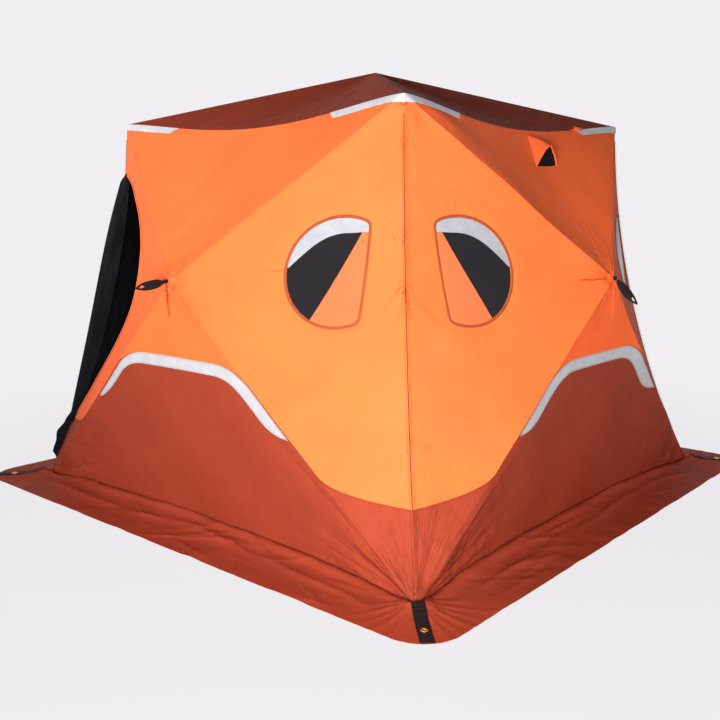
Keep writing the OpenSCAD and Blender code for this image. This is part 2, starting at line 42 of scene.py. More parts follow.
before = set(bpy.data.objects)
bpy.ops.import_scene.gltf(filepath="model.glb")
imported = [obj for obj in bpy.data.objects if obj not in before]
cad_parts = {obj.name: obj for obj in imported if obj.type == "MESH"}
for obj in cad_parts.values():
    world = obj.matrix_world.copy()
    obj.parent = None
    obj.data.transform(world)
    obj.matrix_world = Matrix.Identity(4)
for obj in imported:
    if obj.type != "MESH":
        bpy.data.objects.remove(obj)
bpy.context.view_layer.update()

FRONT, RIGHT, BACK, LEFT = range(4)
WALLS = ("front", "right", "back", "left")
# Wall and side of each window, where side 1 is the right half seen from outside
WINDOWS = ((FRONT, 1), (RIGHT, -1), (RIGHT, 1), (BACK, -1), (BACK, 1), (LEFT, -1))
VENT_WALLS = (RIGHT, LEFT)
SIDES = {-1: "left", 1: "right"}
FOLD_SEED = 20


# Properties

def metres(name, description, default):
    return FloatProperty(
        name=name, description=description, default=default, min=0, unit="LENGTH", precision=4)


def watts(name, description, default):
    return FloatProperty(name=name, description=description, default=default, min=0, unit="POWER")


def tint(name, description, red, green, blue):
    """A colour property given by its screen values from 0 to 255."""
    parts = [c / 255 for c in (red, green, blue)]
    linear = [c / 12.92 if c < 0.04045 else ((c + 0.055) / 1.055) ** 2.4 for c in parts]
    return FloatVectorProperty(
        name=name, description=description, default=linear, size=3, min=0, max=1, subtype="COLOR")


class ShelterSizes(bpy.types.PropertyGroup):
    """Sizes of the shell and its trim, as in the part's source."""

    base_side: metres("Base side", "Side of the square that the walls stand on", 2.44)
    top_side: metres("Top side", "Side of the square between the top corners", 1.76)
    eave_height: metres("Eave height", "Height of the four top corners", 1.79)
    peak_height: metres("Peak height", "Height of the roof's peak", 2.05)
    hub_span: metres("Hub span", "Distance between the hubs of opposite walls", 2.64)
    hub_height: metres("Hub height", "Height of the wall hubs", 1.08)
    eave_drop: metres("Eave drop", "How far the eaves sag between the corners", 0.07)
    eave_in: metres("Eave pull", "How far the eaves pull in between the corners", 0.04)
    seam_in: metres("Seam pull", "How far the corner seams pull in along the diagonal", 0.105)
    base_in: metres("Base pull", "How far the walls pull in along the ground", 0.06)
    skirt_width: metres("Skirt width", "Width of the skirt that lies on the ground", 0.24)
    skirt_round: metres("Skirt corner", "Radius of the skirt's outer corners", 0.165)
    skirt_tuck: metres("Skirt tuck", "How far the skirt runs in under the walls", 0.025)
    lower_top: metres("Lower panel", "Height of the lower panel's top edge", 0.755)
    lower_round: metres("Lower bend", "Radius where that edge bends down along the ridge", 0.3)
    lower_ridge: metres("Lower ridge", "Height at which that edge leaves the ridge", 0.383)
    lower_seam: metres("Lower seam", "Height of the lower panel at the corner seams", 0.303)
    tape_top: metres("Tape top", "Width of the reflective tape along the top edge", 0.052)
    tape_side: metres("Tape side", "Width of the reflective tape along the ridges", 0.07)
    tape_door: metres("Tape beside the door", "Width of the front tape's leg beside the doorway", 0.032)
    tape_margin: metres("Tape margin", "Bare margin between the tape and the ridge", 0.008)
    tape_end: metres("Tape end", "Height of the tape's lower ends", 0.505)
    eave_tape_length: metres("Eave tape length", "Length of an eave tape from its corner", 0.39)
    eave_tape_width: metres("Eave tape width", "Width of an eave tape", 0.03)
    eave_tape_slant: metres("Eave tape slant", "How much shorter its lower edge is", 0.035)
    window_r: metres("Window radius", "Radius of a window's round side", 0.205)
    window_flat: metres("Window flat", "Distance from the centre to the straight side", 0.09)
    window_inset: metres("Window inset", "Distance from the straight side to the corner seam", 0.151)
    window_rise: metres("Window rise", "Height of a window's centre above the hub", 0.052)
    window_corner: metres("Window corner", "Radius of the corners of the straight side", 0.025)
    binding_width: metres("Binding width", "Width of a window's sewn binding", 0.012)
    door_top: metres("Door top", "Height of the top of the doorway", 1.55)
    door_foot: metres("Door foot", "Height of the foot of the doorway", 0.312)
    door_waist: metres("Door waist", "Height of the doorway's widest place", 1.18)
    door_reach: metres("Door reach", "Distance from the wall's middle to the doorway there", 0.455)
    door_hem: metres("Door hem", "Fabric left between the doorway and the corner seam", 0.03)
    zip_width: metres("Zip width", "Width of the zip binding round the doorway", 0.016)
    vent_start: metres("Vent start", "Distance of a hood's tail from the eave", 0.02)
    vent_length: metres("Vent length", "Length of a hood from its tail to its mouth", 0.185)
    vent_width: metres("Vent width", "Width of a hood's mouth", 0.185)
    vent_height: metres("Vent height", "Height of a hood's mouth", 0.062)
    vent_setback: metres("Vent setback", "How far the top of the mouth is set back", 0.066)
    vent_aside: metres("Vent aside", "Distance of the hoods from the middle of the wall", 0.048)
    vent_hole_r: metres("Vent hole", "Radius of the vent hole under a hood", 0.032)
    anchor_width: metres("Anchor strap", "Width of the anchor straps", 0.05)
    eyelet_out: metres("Eyelet place", "Distance of an eyelet from the wall's corner, each way", 0.13)
    eyelet_r: metres("Eyelet radius", "Radius of an eyelet's hole", 0.006)
    pull_length: metres("Pull strap", "Length of a pull strap", 0.148)
    pull_width: metres("Pull strap width", "Width of a pull strap", 0.038)


class ShelterCloth(bpy.types.PropertyGroup):
    """How finely the fabric is meshed, and how deep its folds are."""

    net: metres("Net", "Spacing of the points of the wall panels", 0.012)
    coarse_net: metres("Coarse net", "Spacing of the points of the roof panels", 0.016)
    fabric: metres("Fabric", "Thickness of the coated fabric with its lining", 0.001)
    tape: metres("Tape", "Thickness of the reflective tape", 0.0006)
    fold_depth: FloatProperty(
        name="Folds", description="Depth of all tension folds", default=1.0, min=0, max=3)
    stitch: metres("Stitch", "Distance from one stitch to the next", 0.009)


class ShelterColours(bpy.types.PropertyGroup):
    """Base colours of the finishes."""

    orange: tint("Orange fabric", "Walls", 239, 102, 51)
    rust: tint("Rust fabric", "Lower panels and skirt", 139, 54, 35)
    binding: tint("Binding", "Cloth sewn round the windows", 145, 71, 39)
    # Painted shade: the roof fabric is the rust fabric painted a little darker, for the shade on the roof
    roof: tint("Roof fabric", "Roof panels", 132, 50, 31)
    lining: tint("Lining", "Black inner side of the fabric", 10, 10, 13)
    webbing: tint("Webbing", "Straps", 20, 17, 19)
    tape: tint("Reflective tape", "Tapes on the walls", 180, 180, 184)
    # Painted shade: the window tapes are the wall tapes' glass-bead tape painted darker, to offset the
    # stronger light on the window panels
    window_tape: tint("Window tape", "Tapes on the windows", 148, 149, 154)
    # Painted shade and reflection: the pane is an opaque sheet painted dark for the shaded inside, with a
    # little painted reflection in its colour
    film: tint("Window film", "Dark panes", 24, 22, 24)
    pole: tint("Poles", "Glass-fibre poles", 100, 95, 91)
    plastic: tint("Hub plastic", "Hubs, caps and feet", 34, 33, 35)
    brass: tint("Brass", "Eyelets", 214, 172, 92)
    cord: tint("Guy cord", "Short cord at the front hub", 171, 69, 35)
    thread: tint("Seam thread", "Stitches and piping on the orange fabric", 95, 50, 29)
    dark_thread: tint("Dark thread", "Stitches on the rust fabric and the tapes", 84, 39, 30)
    paper: tint("Backdrop", "Floor and background", 240, 238, 241)


class ShelterStudio(bpy.types.PropertyGroup):
    """Camera and lamps."""

    eye: FloatVectorProperty(
        name="Camera", description="Place of the camera", default=(2.962, -3.511, 1.355),
        size=3, subtype="TRANSLATION", unit="LENGTH")
    aim: FloatVectorProperty(
        name="Aim", description="Direction in which the camera looks", default=(-0.649, 0.7425, -0.1656),
        size=3, subtype="DIRECTION")
    roll: FloatProperty(
        name="Roll", description="Turn of the camera about its own axis", default=math.radians(-0.11),
        subtype="ANGLE")
    lens: FloatProperty(
        name="Lens", description="Focal length for a 36 mm wide frame", default=43.82,
        subtype="DISTANCE_CAMERA")
    key_power: watts("Key light", "Power of the key light", 338.0)
    fill_power: watts("Fill light", "Power of the fill light", 20.0)
    side_power: watts("Side light", "Power of the lamp beside the right wall", 17.0)
    back_power: watts("Back light", "Power of the lamp behind the shelter", 154.0)
    sky: FloatProperty(name="Sky", description="Strength of the even light", default=0.054, min=0)


def sizes():
    return bpy.context.scene.shelter_sizes


def cloth():
    return bpy.context.scene.shelter_cloth


def colours():
    return bpy.context.scene.shelter_colours


def net_step(spacing):
    return spacing * 1


# Curves in a wall's plane, as pairs of x and height

def mix(a, b, t):
    return a + (b - a) * t


def bow(t):
    return 4 * t * (1 - t)


def smooth(t):
    t = np.clip(t, 0, 1)
    return t * t * (3 - 2 * t)


def unit(v):
    return v / np.linalg.norm(v, axis=-1, keepdims=True)


def arc(x, z, r, start, end, steps):
    turn = np.radians(np.linspace(start, end, steps + 1))
    return np.column_stack((x + r * np.cos(turn), z + r * np.sin(turn)))


def bezier(controls, steps):
    t = np.linspace(0, 1, steps + 1)[:, None]
    rows = [np.asarray(c, float)[None, :] for c in controls]
    while len(rows) > 1:
        rows = [mix(a, b, t) for a, b in zip(rows, rows[1:])]
    return rows[0]


def line(a, b):
    return np.array((a, b), float)


def resample(points, step):
    """The same curve with even steps of about the given length."""
    points = np.asarray(points, float)
    run = np.concatenate(([0], np.cumsum(np.linalg.norm(np.diff(points, axis=0), axis=1))))
    even = np.linspace(0, run[-1], max(2, math.ceil(run[-1] / step) + 1))
    return np.column_stack([np.interp(even, run, points[:, i]) for i in range(points.shape[1])])


def joined(*curves):
    """A closed loop from curves that each start where the last one ends."""
    return np.concatenate([c[:-1] for c in curves])


def flipped(points):
    return points * np.array((-1, 1))


def beside(points, d):
    """A curve at a distance to the right of another."""
    ahead = unit(np.gradient(points, axis=0))
    return points + d * np.column_stack((ahead[:, 1], -ahead[:, 0]))


class WallShape:
    """Edges, outlines and plain outer surface of the front wall. The other walls are turned copies."""

    def __init__(self, steps=240):
        s = sizes()
        self.s = s
        self.hub = np.array((0.0, s.hub_height))
        t = np.arange(steps) / steps
        edge = np.concatenate((self.eave(t), self.seam(1, t), self.base(1 - t), self.seam(-1, 1 - t)))
        self.edge = edge[:, [0, 2]]
        self.edge_run = np.cumsum(np.linalg.norm(np.diff(edge, axis=0, append=edge[:1]), axis=1))
        ray = self.edge - self.hub
        turn = np.arctan2(ray[:, 1], ray[:, 0])
        order = np.argsort(turn)
        self.turn = np.concatenate([turn[order] + 2 * math.pi * i for i in (-1, 0, 1)])
        self.reach = np.tile(np.hypot(ray[:, 0], ray[:, 1])[order], 3)
        self.back = np.tile(edge[order, 1], 3)
        self.outlines()

    def seam_half(self, v):
        s = self.s
        return mix(s.top_side, s.base_side, v) / 2 - s.seam_in / math.sqrt(2) * bow(v)

    def seam_x(self, z):
        return self.seam_half(1 - z / self.s.eave_height)

    def seam(self, side, v):
        half = self.seam_half(v)
        return np.column_stack((side * half, -half, self.s.eave_height * (1 - v)))

    def eave(self, t):
        s = self.s
        sag = bow(t) ** 1.5
        x = mix(-s.top_side, s.top_side, t) / 2
        return np.column_stack((x, -s.top_side / 2 + s.eave_in * sag, s.eave_height - s.eave_drop * sag))

    def base(self, t):
        s = self.s
        x = mix(-s.base_side, s.base_side, t) / 2
        return np.column_stack((x, -s.base_side / 2 + s.base_in * bow(t), 0 * t))

    def ridge_x(self, z):
        s = self.s
        return (s.hub_height - z) * s.base_side / 2 / s.hub_height

    def bend(self, top, inset, radius):
        """A level edge that bends down to a line beside the ridge."""
        s = self.s
        turn = math.atan2(s.hub_height, s.base_side / 2)
        corner = self.ridge_x(top) - inset / math.sin(turn)
        reach = radius * math.tan(turn / 2)
        down = arc(corner - reach, top - radius, radius, 90, 90 - math.degrees(turn), 16)
        return np.concatenate(([(0.0, top)], down))

    def outlines(self):
        """The edges that panels share, each sampled once so that neighbours meet point for point."""
        s = self.s
        step = net_step(cloth().net)
        foot = 0.002
        corner = (s.top_side / 2, s.eave_height)
        leave = (self.ridge_x(s.lower_ridge), s.lower_ridge)
        meet = (self.seam_x(s.lower_seam), s.lower_seam)
        sag = (mix(leave[0], meet[0], 0.25), mix(leave[1], meet[1], 0.72))
        v = np.linspace(0, 1, 200)
        meet_v = 1 - s.lower_seam / s.eave_height
        bend = self.bend(s.lower_top, 0, s.lower_round)
        self.top_ray = resample(line(self.hub, corner), step)
        self.eave_line = resample(self.eave(v)[:, [0, 2]], step)
        self.seam_upper = resample(self.seam(1, v * meet_v)[:, [0, 2]], step)
        lower = self.seam(1, mix(meet_v, 1 - foot / s.eave_height, v))
        self.seam_lower = resample(lower[:, [0, 2]], step)
        self.sweep = resample(bezier((leave, sag, meet), 20), step / 2)
        self.lower_bend = resample(bend, step)
        self.ridge_upper = resample(line(self.hub, bend[-1]), step)
        self.ridge_lower = resample(line(bend[-1], leave), step / 2)
        foot_x = self.seam_x(foot)
        self.ground = resample(line((-foot_x, foot), (foot_x, foot)), step)
        self.top_outline = joined(self.top_ray, self.eave_line[::-1], flipped(self.top_ray)[::-1])
        self.side_outline = joined(
            self.ridge_upper, self.ridge_lower, self.sweep, self.seam_upper[::-1], self.top_ray[::-1])
        self.center_outline = joined(
            flipped(self.ridge_upper), flipped(self.lower_bend)[::-1],
            self.lower_bend, self.ridge_upper[::-1])
        right = (self.seam_lower, self.sweep, self.ridge_lower, self.lower_bend)
        up = [c[::-1] for c in right]
        down = [flipped(c) for c in reversed(right)]
        self.lower_outline = joined(self.ground, *up, *down)
        self.window_z = s.hub_height + s.window_rise
        self.window_x = self.seam_x(self.window_z) - s.window_inset - s.window_flat
        self.door_outlines(step)

    def window(self, grow=0.0, step=0.008):
        """A circle cut by a straight side, with both corners rounded, grown all round."""
        s = self.s
        r = s.window_r + grow
        corner = s.window_corner + grow
        cx = s.window_flat + grow - corner
        cz = math.sqrt((r - corner) ** 2 - cx * cx)
        turn = math.degrees(math.atan2(cz, cx))
        x, z = self.window_x, self.window_z
        loop = np.concatenate((
            arc(x + cx, z + cz, corner, 0, turn, 8),
            arc(x, z, r, turn, 360 - turn, 72)[1:],
            arc(x + cx, z - cz, corner, 360 - turn, 360, 8)[1:],
            arc(x + cx, z + cz, corner, 0, 0, 1)[:1],
        ))
        return resample(loop, step)[:-1]

    def door_outlines(self, step):
        """The doorway, on the right half. Its lower edge follows the photo more closely than the solid's."""
        s = self.s
        top, waist, foot = s.door_top, s.door_waist, s.door_foot
        head = (self.seam_x(top) - s.door_hem, top)
        side = (s.door_reach, waist)
        toe = (self.seam_x(foot) - s.door_hem, foot)
        upper = bezier((head, (mix(head[0], s.door_reach, 0.36), mix(top, waist, 0.08)),
                        (s.door_reach, mix(top, waist, 0.68)), side), 60)
        lower = bezier((side, (s.door_reach, mix(waist, foot, 0.44)),
                        (mix(s.door_reach, toe[0], 0.23), mix(waist, foot, 0.44)), toe), 60)
        self.door_edge = np.concatenate((upper, lower[1:]))
        z = np.linspace(foot, top, 60)
        hem = np.column_stack((self.seam_x(z) - s.door_hem, z))
        self.door_outline = joined(resample(self.door_edge, step), resample(hem, step))

    def depth(self, x, z):
        """How far in Y the plain surface lies: fans of straight lines from the hub to the edges."""
        dx, dz = x - self.hub[0], z - self.hub[1]
        turn = np.arctan2(dz, dx)
        share = np.hypot(dx, dz) / np.interp(turn, self.turn, self.reach)
        peak = -self.s.hub_span / 2
        return peak + share * (np.interp(turn, self.turn, self.back) - peak)

    def normal(self, x, z):
        e = 0.012
        gx = (self.depth(x + e, z) - self.depth(x - e, z)) / (2 * e)
        gz = (self.depth(x, z + e) - self.depth(x, z - e)) / (2 * e)
        return unit(np.column_stack((gx, -np.ones_like(gx), gz)))


def turned(points, k):
    """Points of the front wall turned into wall k's place."""
    c, s = ((1, 0), (0, 1), (-1, 0), (0, -1))[k]
    x, y, z = points.T
    return np.column_stack((c * x - s * y, s * x + c * y, z))


class Skin:
    """The fabric of one wall: the plain surface with its tension folds, in its place."""

    def __init__(self, wall, k):
        self.wall = wall
        self.k = k
        self.random = np.random.default_rng(FOLD_SEED + k)
        self.lines = []
        self.waves = []
        s = wall.s
        # A pull's centre, start, reach and strength
        self.pulls = [((0, s.hub_height), 0.02, 0.17, 0.7)]
        # A spray's centre, side, two angles, count, start, reach, width and height
        for side in (-1, 1):
            base = (side * s.base_side / 2, 0)
            top = (side * s.top_side / 2, s.eave_height)
            self.spray(base, side, 98, 138, 9, 0.015, 0.36, 0.008, 0.013)
            self.spray(base, side, 138, 174, 7, 0.03, 0.42, 0.009, 0.012)
            self.spray(base, side, 134, 142, 3, 0.06, 0.75, 0.01, 0.009)
            self.spray(top, side, 188, 262, 8, 0.03, 0.3, 0.011, 0.0042)
            self.spray((0, s.hub_height), side, 272, 325, 7, 0.03, 0.17, 0.011, 0.0042)
            self.pulls += [(base, 0.03, 0.42, 1.4), (top, 0.02, 0.24, 0.5)]
            if (k, side) in WINDOWS:
                eye = (side * wall.window_x, wall.window_z)
                self.spray(eye, side, 20, 340, 16, s.window_r + 0.012, 0.085, 0.0105, 0.0026)
                self.pulls.append((eye, s.window_r + 0.01, 0.07, 0.4))
        if k == FRONT:
            self.spray((-0.1, s.hub_height + 0.24), -1, 252, 288, 5, 0.02, 0.2, 0.012, 0.0075)
            self.spray((-0.19, s.hub_height + 0.03), -1, 245, 290, 6, 0.02, 0.18, 0.012, 0.0075)
        for _ in range(9):
            length = self.random.uniform(0.22, 0.8)
            turn = self.random.uniform(0, math.pi)
            phase = self.random.uniform(0, 2 * math.pi)
            self.waves.append((length, turn, phase, 0.0006 * length / 0.35))

    def spray(self, centre, side, low, high, count, start, reach, width, height):
        """Fold lines that leave a point between two angles, mirrored for the left side."""
        spread = (high - low) / max(count - 1, 1)
        for angle in np.linspace(low, high, count):
            angle += self.random.uniform(-0.4, 0.4) * spread
            angle = math.radians(angle if side > 0 else 180 - angle)
            sign = -1 if self.random.random() < 0.4 else 1
            self.lines.append((
                centre, angle,
                start * self.random.uniform(0.8, 1.3), reach * self.random.uniform(0.6, 1.25),
                width * self.random.uniform(0.8, 1.4), sign * height * self.random.uniform(0.45, 1)))

    def folds(self, x, z):
        """How far the fabric stands out of its plain surface. Nothing at the wall's outer edges."""
        total = np.zeros_like(x)
        for centre, angle, start, reach, width, height in self.lines:
            dx, dz = x - centre[0], z - centre[1]
            along = dx * math.cos(angle) + dz * math.sin(angle)
            aside = -dx * math.sin(angle) + dz * math.cos(angle)
            run = along - start
            near = smooth(run / (0.3 * reach)) * np.exp(-(run / reach) ** 2)
            spread = width * (1 + 0.5 * np.clip(run, 0, None) / reach)
            total += height * near * np.exp(-np.sqrt((aside / spread) ** 2 + 0.15))
        for length, turn, phase, height in self.waves:
            total += height * np.sin(
                2 * math.pi * (x * math.cos(turn) + z * math.sin(turn)) / length + phase)
        gap, place = nearest(np.column_stack((x, z)), self.wall.edge)
        run = self.wall.edge_run[place]
        pucker = np.sin(2 * math.pi * run / 0.047 + 1.7 * np.sin(2 * math.pi * run / 0.31 + self.k))
        total += 0.0011 * pucker * np.exp(-gap / 0.035)
        hub = np.hypot(x, z - self.wall.hub[1])
        return cloth().fold_depth * total * smooth(gap / 0.035) * smooth(hub / 0.03)

    def grain(self, points):
        """How hard the fabric is pulled at each point, and coordinates across and along the wrinkles there.

        Where two pulls are as strong as each other they cancel out, so that the coordinates can change.
        """
        x, z = points.T
        gap, place = nearest(points, self.wall.edge)
        run = self.wall.edge_run[place]
        pull = 0.4 * np.exp(-gap / 0.03)
        other = np.zeros_like(pull)
        across = np.column_stack((gap / 0.011 + run / 0.09, run / 0.22))
        for i, (centre, start, reach, strength) in enumerate(self.pulls):
            dx, dz = x - centre[0], z - centre[1]
            away = np.hypot(dx, dz) - start
            here = strength * smooth(away / 0.03) * np.exp(-(away / reach) ** 2)
            turn = np.arctan2(dz, dx)
            polar = np.column_stack((turn / 0.075 + 37 * i, away / 0.2 + 11 * self.k))
            across = np.where((here > pull)[:, None], polar, across)
            other = np.maximum(other, np.minimum(pull, here))
            pull = np.maximum(pull, here)
        return pull * smooth((pull - other) / (0.3 * pull + 0.02)), across

    def at(self, points, out=0.0):
        """Points of the wall's plane lifted onto the fabric, and a little out from it."""
        x, z = points.T
        normal = self.wall.normal(x, z)
        plain = np.column_stack((x, self.wall.depth(x, z), z))
        return turned(plain + normal * (self.folds(x, z) + out)[:, None], self.k)

    def normals(self, points):
        return turned(self.wall.normal(*points.T), self.k)


# Meshes

def inside(points, loop):
    """Which points lie in a closed loop."""
    x, z = points[:, :1], points[:, 1:]
    ax, az = loop.T
    bx, bz = np.roll(loop, -1, axis=0).T
    rise = np.where(bz == az, 1e-12, bz - az)
    crossed = ((az > z) != (bz > z)) & (x < ax + (z - az) / rise * (bx - ax))
    return crossed.sum(axis=1) % 2 == 1


def nearest(points, rim):
    """Distance of each point from the nearest of the rim's points, and which one that is."""
    gaps, places = [], []
    for part in np.array_split(points, len(points) // 1500 + 1):
        gap = np.hypot(part[:, :1] - rim[:, 0], part[:, 1:] - rim[:, 1])
        place = gap.argmin(axis=1)
        gaps.append(gap[np.arange(len(part)), place])
        places.append(place)
    return np.concatenate(gaps), np.concatenate(places)


def even_net(low, high, step):
    """Points in staggered rows."""
    rows = enumerate(np.arange(low[1], high[1], step * math.sqrt(0.75)))
    columns = np.arange(low[0] - step, high[0] + step, step)
    return np.array([(x + i % 2 * step / 2, z) for i, z in rows for x in columns])


def fill(outline, step, holes=(), lines=(), zones=()):
    """Triangles inside an outline, less its holes, on an even net that is finer in round zones."""
    rim = np.concatenate((outline, *holes, *lines))
    net = even_net(outline.min(axis=0), outline.max(axis=0), step)
    for centre, radius, fine in zones:
        net = net[np.hypot(*(net - centre).T) > radius]
        part = even_net(np.subtract(centre, radius), np.add(centre, radius), fine)
        net = np.concatenate((net, part[np.hypot(*(part - centre).T) < radius - 0.5 * fine]))
    net = net[inside(net, outline)]
    for hole in holes:
        net = net[~inside(net, hole)]
    net = net[nearest(net, rim)[0] > 0.5 * step]
    edges, start = [], 0
    for loop in (outline, *holes):
        edges += [(start + i, start + (i + 1) % len(loop)) for i in range(len(loop))]
        start += len(loop)
    for part in lines:
        edges += [(start + i, start + i + 1) for i in range(len(part) - 1)]
        start += len(part)
    found = delaunay_2d_cdt([Vector(p) for p in np.concatenate((rim, net))], edges, [], 0, 1e-7)
    points = np.array([v[:] for v in found[0]])
    faces = np.array(found[2])
    centre = points[faces].mean(axis=1)
    keep = inside(centre, outline)
    for hole in holes:
        keep &= ~inside(centre, hole)
    faces = faces[keep]
    a, b, c = (points[faces[:, i]] for i in range(3))
    area = (b - a)[:, 0] * (c - a)[:, 1] - (b - a)[:, 1] * (c - a)[:, 0]
    faces[area < 0] = faces[area < 0][:, ::-1]
    used, faces = np.unique(faces, return_inverse=True)
    return points[used], faces.reshape(-1, 3)


def mirrored(points, faces, side):
    """The same triangles on the left half of a wall."""
    return (points, faces) if side > 0 else (flipped(points), faces[:, ::-1])


def surface_area(points, faces):
    a, b, c = (points[faces[:, i]] for i in range(3))
    return float(np.linalg.norm(np.cross(b - a, c - a), axis=1).sum() / 2)


def merge(parts):
    """One list of points and faces from several."""
    points, faces, start = [], [], 0
    for p, f in parts:
        points.append(p)
        faces += [[start + i for i in face] for face in f]
        start += len(p)
    return np.concatenate(points), faces


def sweep(path, normals, section, closed=False):
    """A cross-section carried along a path. It is given across the path and along the normals."""
    if closed:
        ahead = np.roll(path, -1, axis=0) - np.roll(path, 1, axis=0)
    else:
        ahead = np.gradient(path, axis=0)
    ahead = unit(ahead)
    across = unit(np.cross(ahead, normals))
    up = np.cross(across, ahead)
    section = np.asarray(section, float)
    points = path[:, None] + section[None, :, :1] * across[:, None] + section[None, :, 1:] * up[:, None]
    n, m = len(path), len(section)
    faces = []
    for i in range(n if closed else n - 1):
        a, b = i * m, (i + 1) % n * m
        faces += [(a + j, b + j, b + (j + 1) % m, a + (j + 1) % m) for j in range(m)]
    if not closed:
        faces += [tuple(range(m)), tuple(range(n * m - 1, (n - 1) * m - 1, -1))]
    return points.reshape(-1, 3), faces


def swept_uv(along, across):
    """Map places of a swept strip, from its places along the path and round the cross-section."""
    return np.column_stack((np.repeat(along, len(across)), np.tile(across, len(along))))


def pillow(width, height, low=0.0, steps=6):
    """A flat-bottomed cross-section with a rounded top."""
    turn = np.radians(np.linspace(0, 180, steps + 1))
    top = [(width / 2 * math.cos(a), low + (height - low) * math.sin(a) ** 0.6) for a in turn]
    return [(-width / 2, low - 0.0004), (width / 2, low - 0.0004), *top]


def rounded_strip(width, thick):
    """The cross-section of a flat strap, from its underside up."""
    w, t = width / 2, thick
    return [(-w, 0.3 * t), (-w + 0.5 * t, 0), (w - 0.5 * t, 0), (w, 0.3 * t),
            (w, 0.7 * t), (w - 0.5 * t, t), (-w + 0.5 * t, t), (-w, 0.7 * t)]


def round_section(r, sides=10):
    turn = np.arange(sides) * 2 * math.pi / sides
    return np.column_stack((r * np.cos(turn), r * np.sin(turn)))


def stitches(path, normals, length=0.0055, width=0.0011, height=0.0007, pitch=None):
    """Short raised threads along a path."""
    pitch = pitch or cloth().stitch
    both = resample(np.column_stack((path, normals)), pitch)
    path, normals = both[:, :3], unit(both[:, 3:])
    ahead = unit(np.gradient(path, axis=0))
    across = unit(np.cross(ahead, normals))
    corners = [(-1, -1), (1, -1), (1, 1), (-1, 1)]
    rows = []
    for share, rise in ((1.0, -0.0003), (0.75, height)):
        for u, v in corners:
            rows.append(path + share * u * length / 2 * ahead
                        + share * v * width / 2 * across + rise * normals)
    points = np.stack(rows, axis=1)
    quads = [(0, 1, 2, 3), (7, 6, 5, 4), (0, 4, 5, 1), (1, 5, 6, 2), (2, 6, 7, 3), (3, 7, 4, 0)]
    faces = [[8 * i + j for j in q] for i in range(len(path)) for q in quads]
    return points.reshape(-1, 3), faces


def only(obj):
    """Selects one object, and nothing else."""
    bpy.ops.object.select_all(action="DESELECT")
    obj.select_set(True)
    bpy.context.view_layer.objects.active = obj


def map_points(mesh, name, uv):
    """A UV map with one place for each point."""
    layer = mesh.uv_layers.new(name=name)
    corner = np.empty(len(mesh.loops), dtype=np.int32)
    mesh.loops.foreach_get("vertex_index", corner)
    layer.data.foreach_set("uv", uv[corner].astype(np.float32).ravel())


def piece(name, points, faces, slot, finishes, uv=None, replaced=()):
    """A piece of the object from points and faces, riding on the frame."""
    mesh = bpy.data.meshes.new(name)
    mesh.from_pydata([tuple(p) for p in points.tolist()], [], [tuple(map(int, f)) for f in faces])
    for finish in finishes:
        mesh.materials.append(finish)
    if uv is not None:
        map_points(mesh, "UVMap", uv)
    mesh.update()
    obj = bpy.data.objects.new(name, mesh)
    bpy.context.scene.collection.objects.link(obj)
    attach(obj, "root")
    if replaced:
        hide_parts(*replaced)
    return obj


def soften(obj, angle=40):
    only(obj)
    bpy.ops.object.shade_smooth_by_angle(angle=math.radians(angle))


def thicken(obj, depth, lined=False, offset=-1.0):
    """Gives a sheet its thickness, with its second finish on the inner side where it is lined."""
    only(obj)
    solid = obj.modifiers.new("Thickness", "SOLIDIFY")
    solid.thickness = depth
    solid.offset = offset
    solid.material_offset = 1 if lined else 0
    solid.material_offset_rim = 0
    bpy.ops.object.modifier_apply(modifier=solid.name)
    soften(obj)


def cut_sheet(obj, outline, lifted, faces, depth, lined=False):
    """Gives a panel its thickness.

    It works out a cloth as wide as the outline, and as long as its area then fills a fair share of it, but
    nothing uses that size.
    """
    least, most = 0.31, 0.95
    area = surface_area(lifted, faces)
    width, length = np.ptp(outline, axis=0)
    length = min(max(length, area / (most * width)), area / (least * width))
    thicken(obj, depth, lined)


# Finishes

class Nodes:
    """Adds nodes to a shader tree."""

    def __init__(self, tree):
        self.tree = tree

    def node(self, kind, values=None, **settings):
        node = self.tree.nodes.new(kind)
        for key, value in settings.items():
            setattr(node, key, value)
        for key, value in (values or {}).items():
            self.put(value, node.inputs[key])
        return node

    def put(self, value, socket):
        if isinstance(value, bpy.types.NodeSocket):
            self.tree.links.new(value, socket)
        else:
            socket.default_value = value

    def math(self, operation, a, b):
        return self.node("ShaderNodeMath", {0: a, 1: b}, operation=operation).outputs[0]

    def seen(self):
        """Does the ray come from the camera, straight, through clear film or by a mirror reflection?"""
        rays = self.node("ShaderNodeLightPath").outputs
        found = rays["Is Camera Ray"]
        for kind in ("Is Transmission Ray", "Is Glossy Ray"):
            found = self.math("MAXIMUM", found, rays[kind])
        return found

    def show(self, share, first, second, output):
        """Sends a blend of two shaders to an output."""
        blend = self.node("ShaderNodeMixShader", {0: share, 1: first.outputs[0], 2: second.outputs[0]})
        self.put(blend.outputs[0], self.tree.nodes[output].inputs["Surface"])


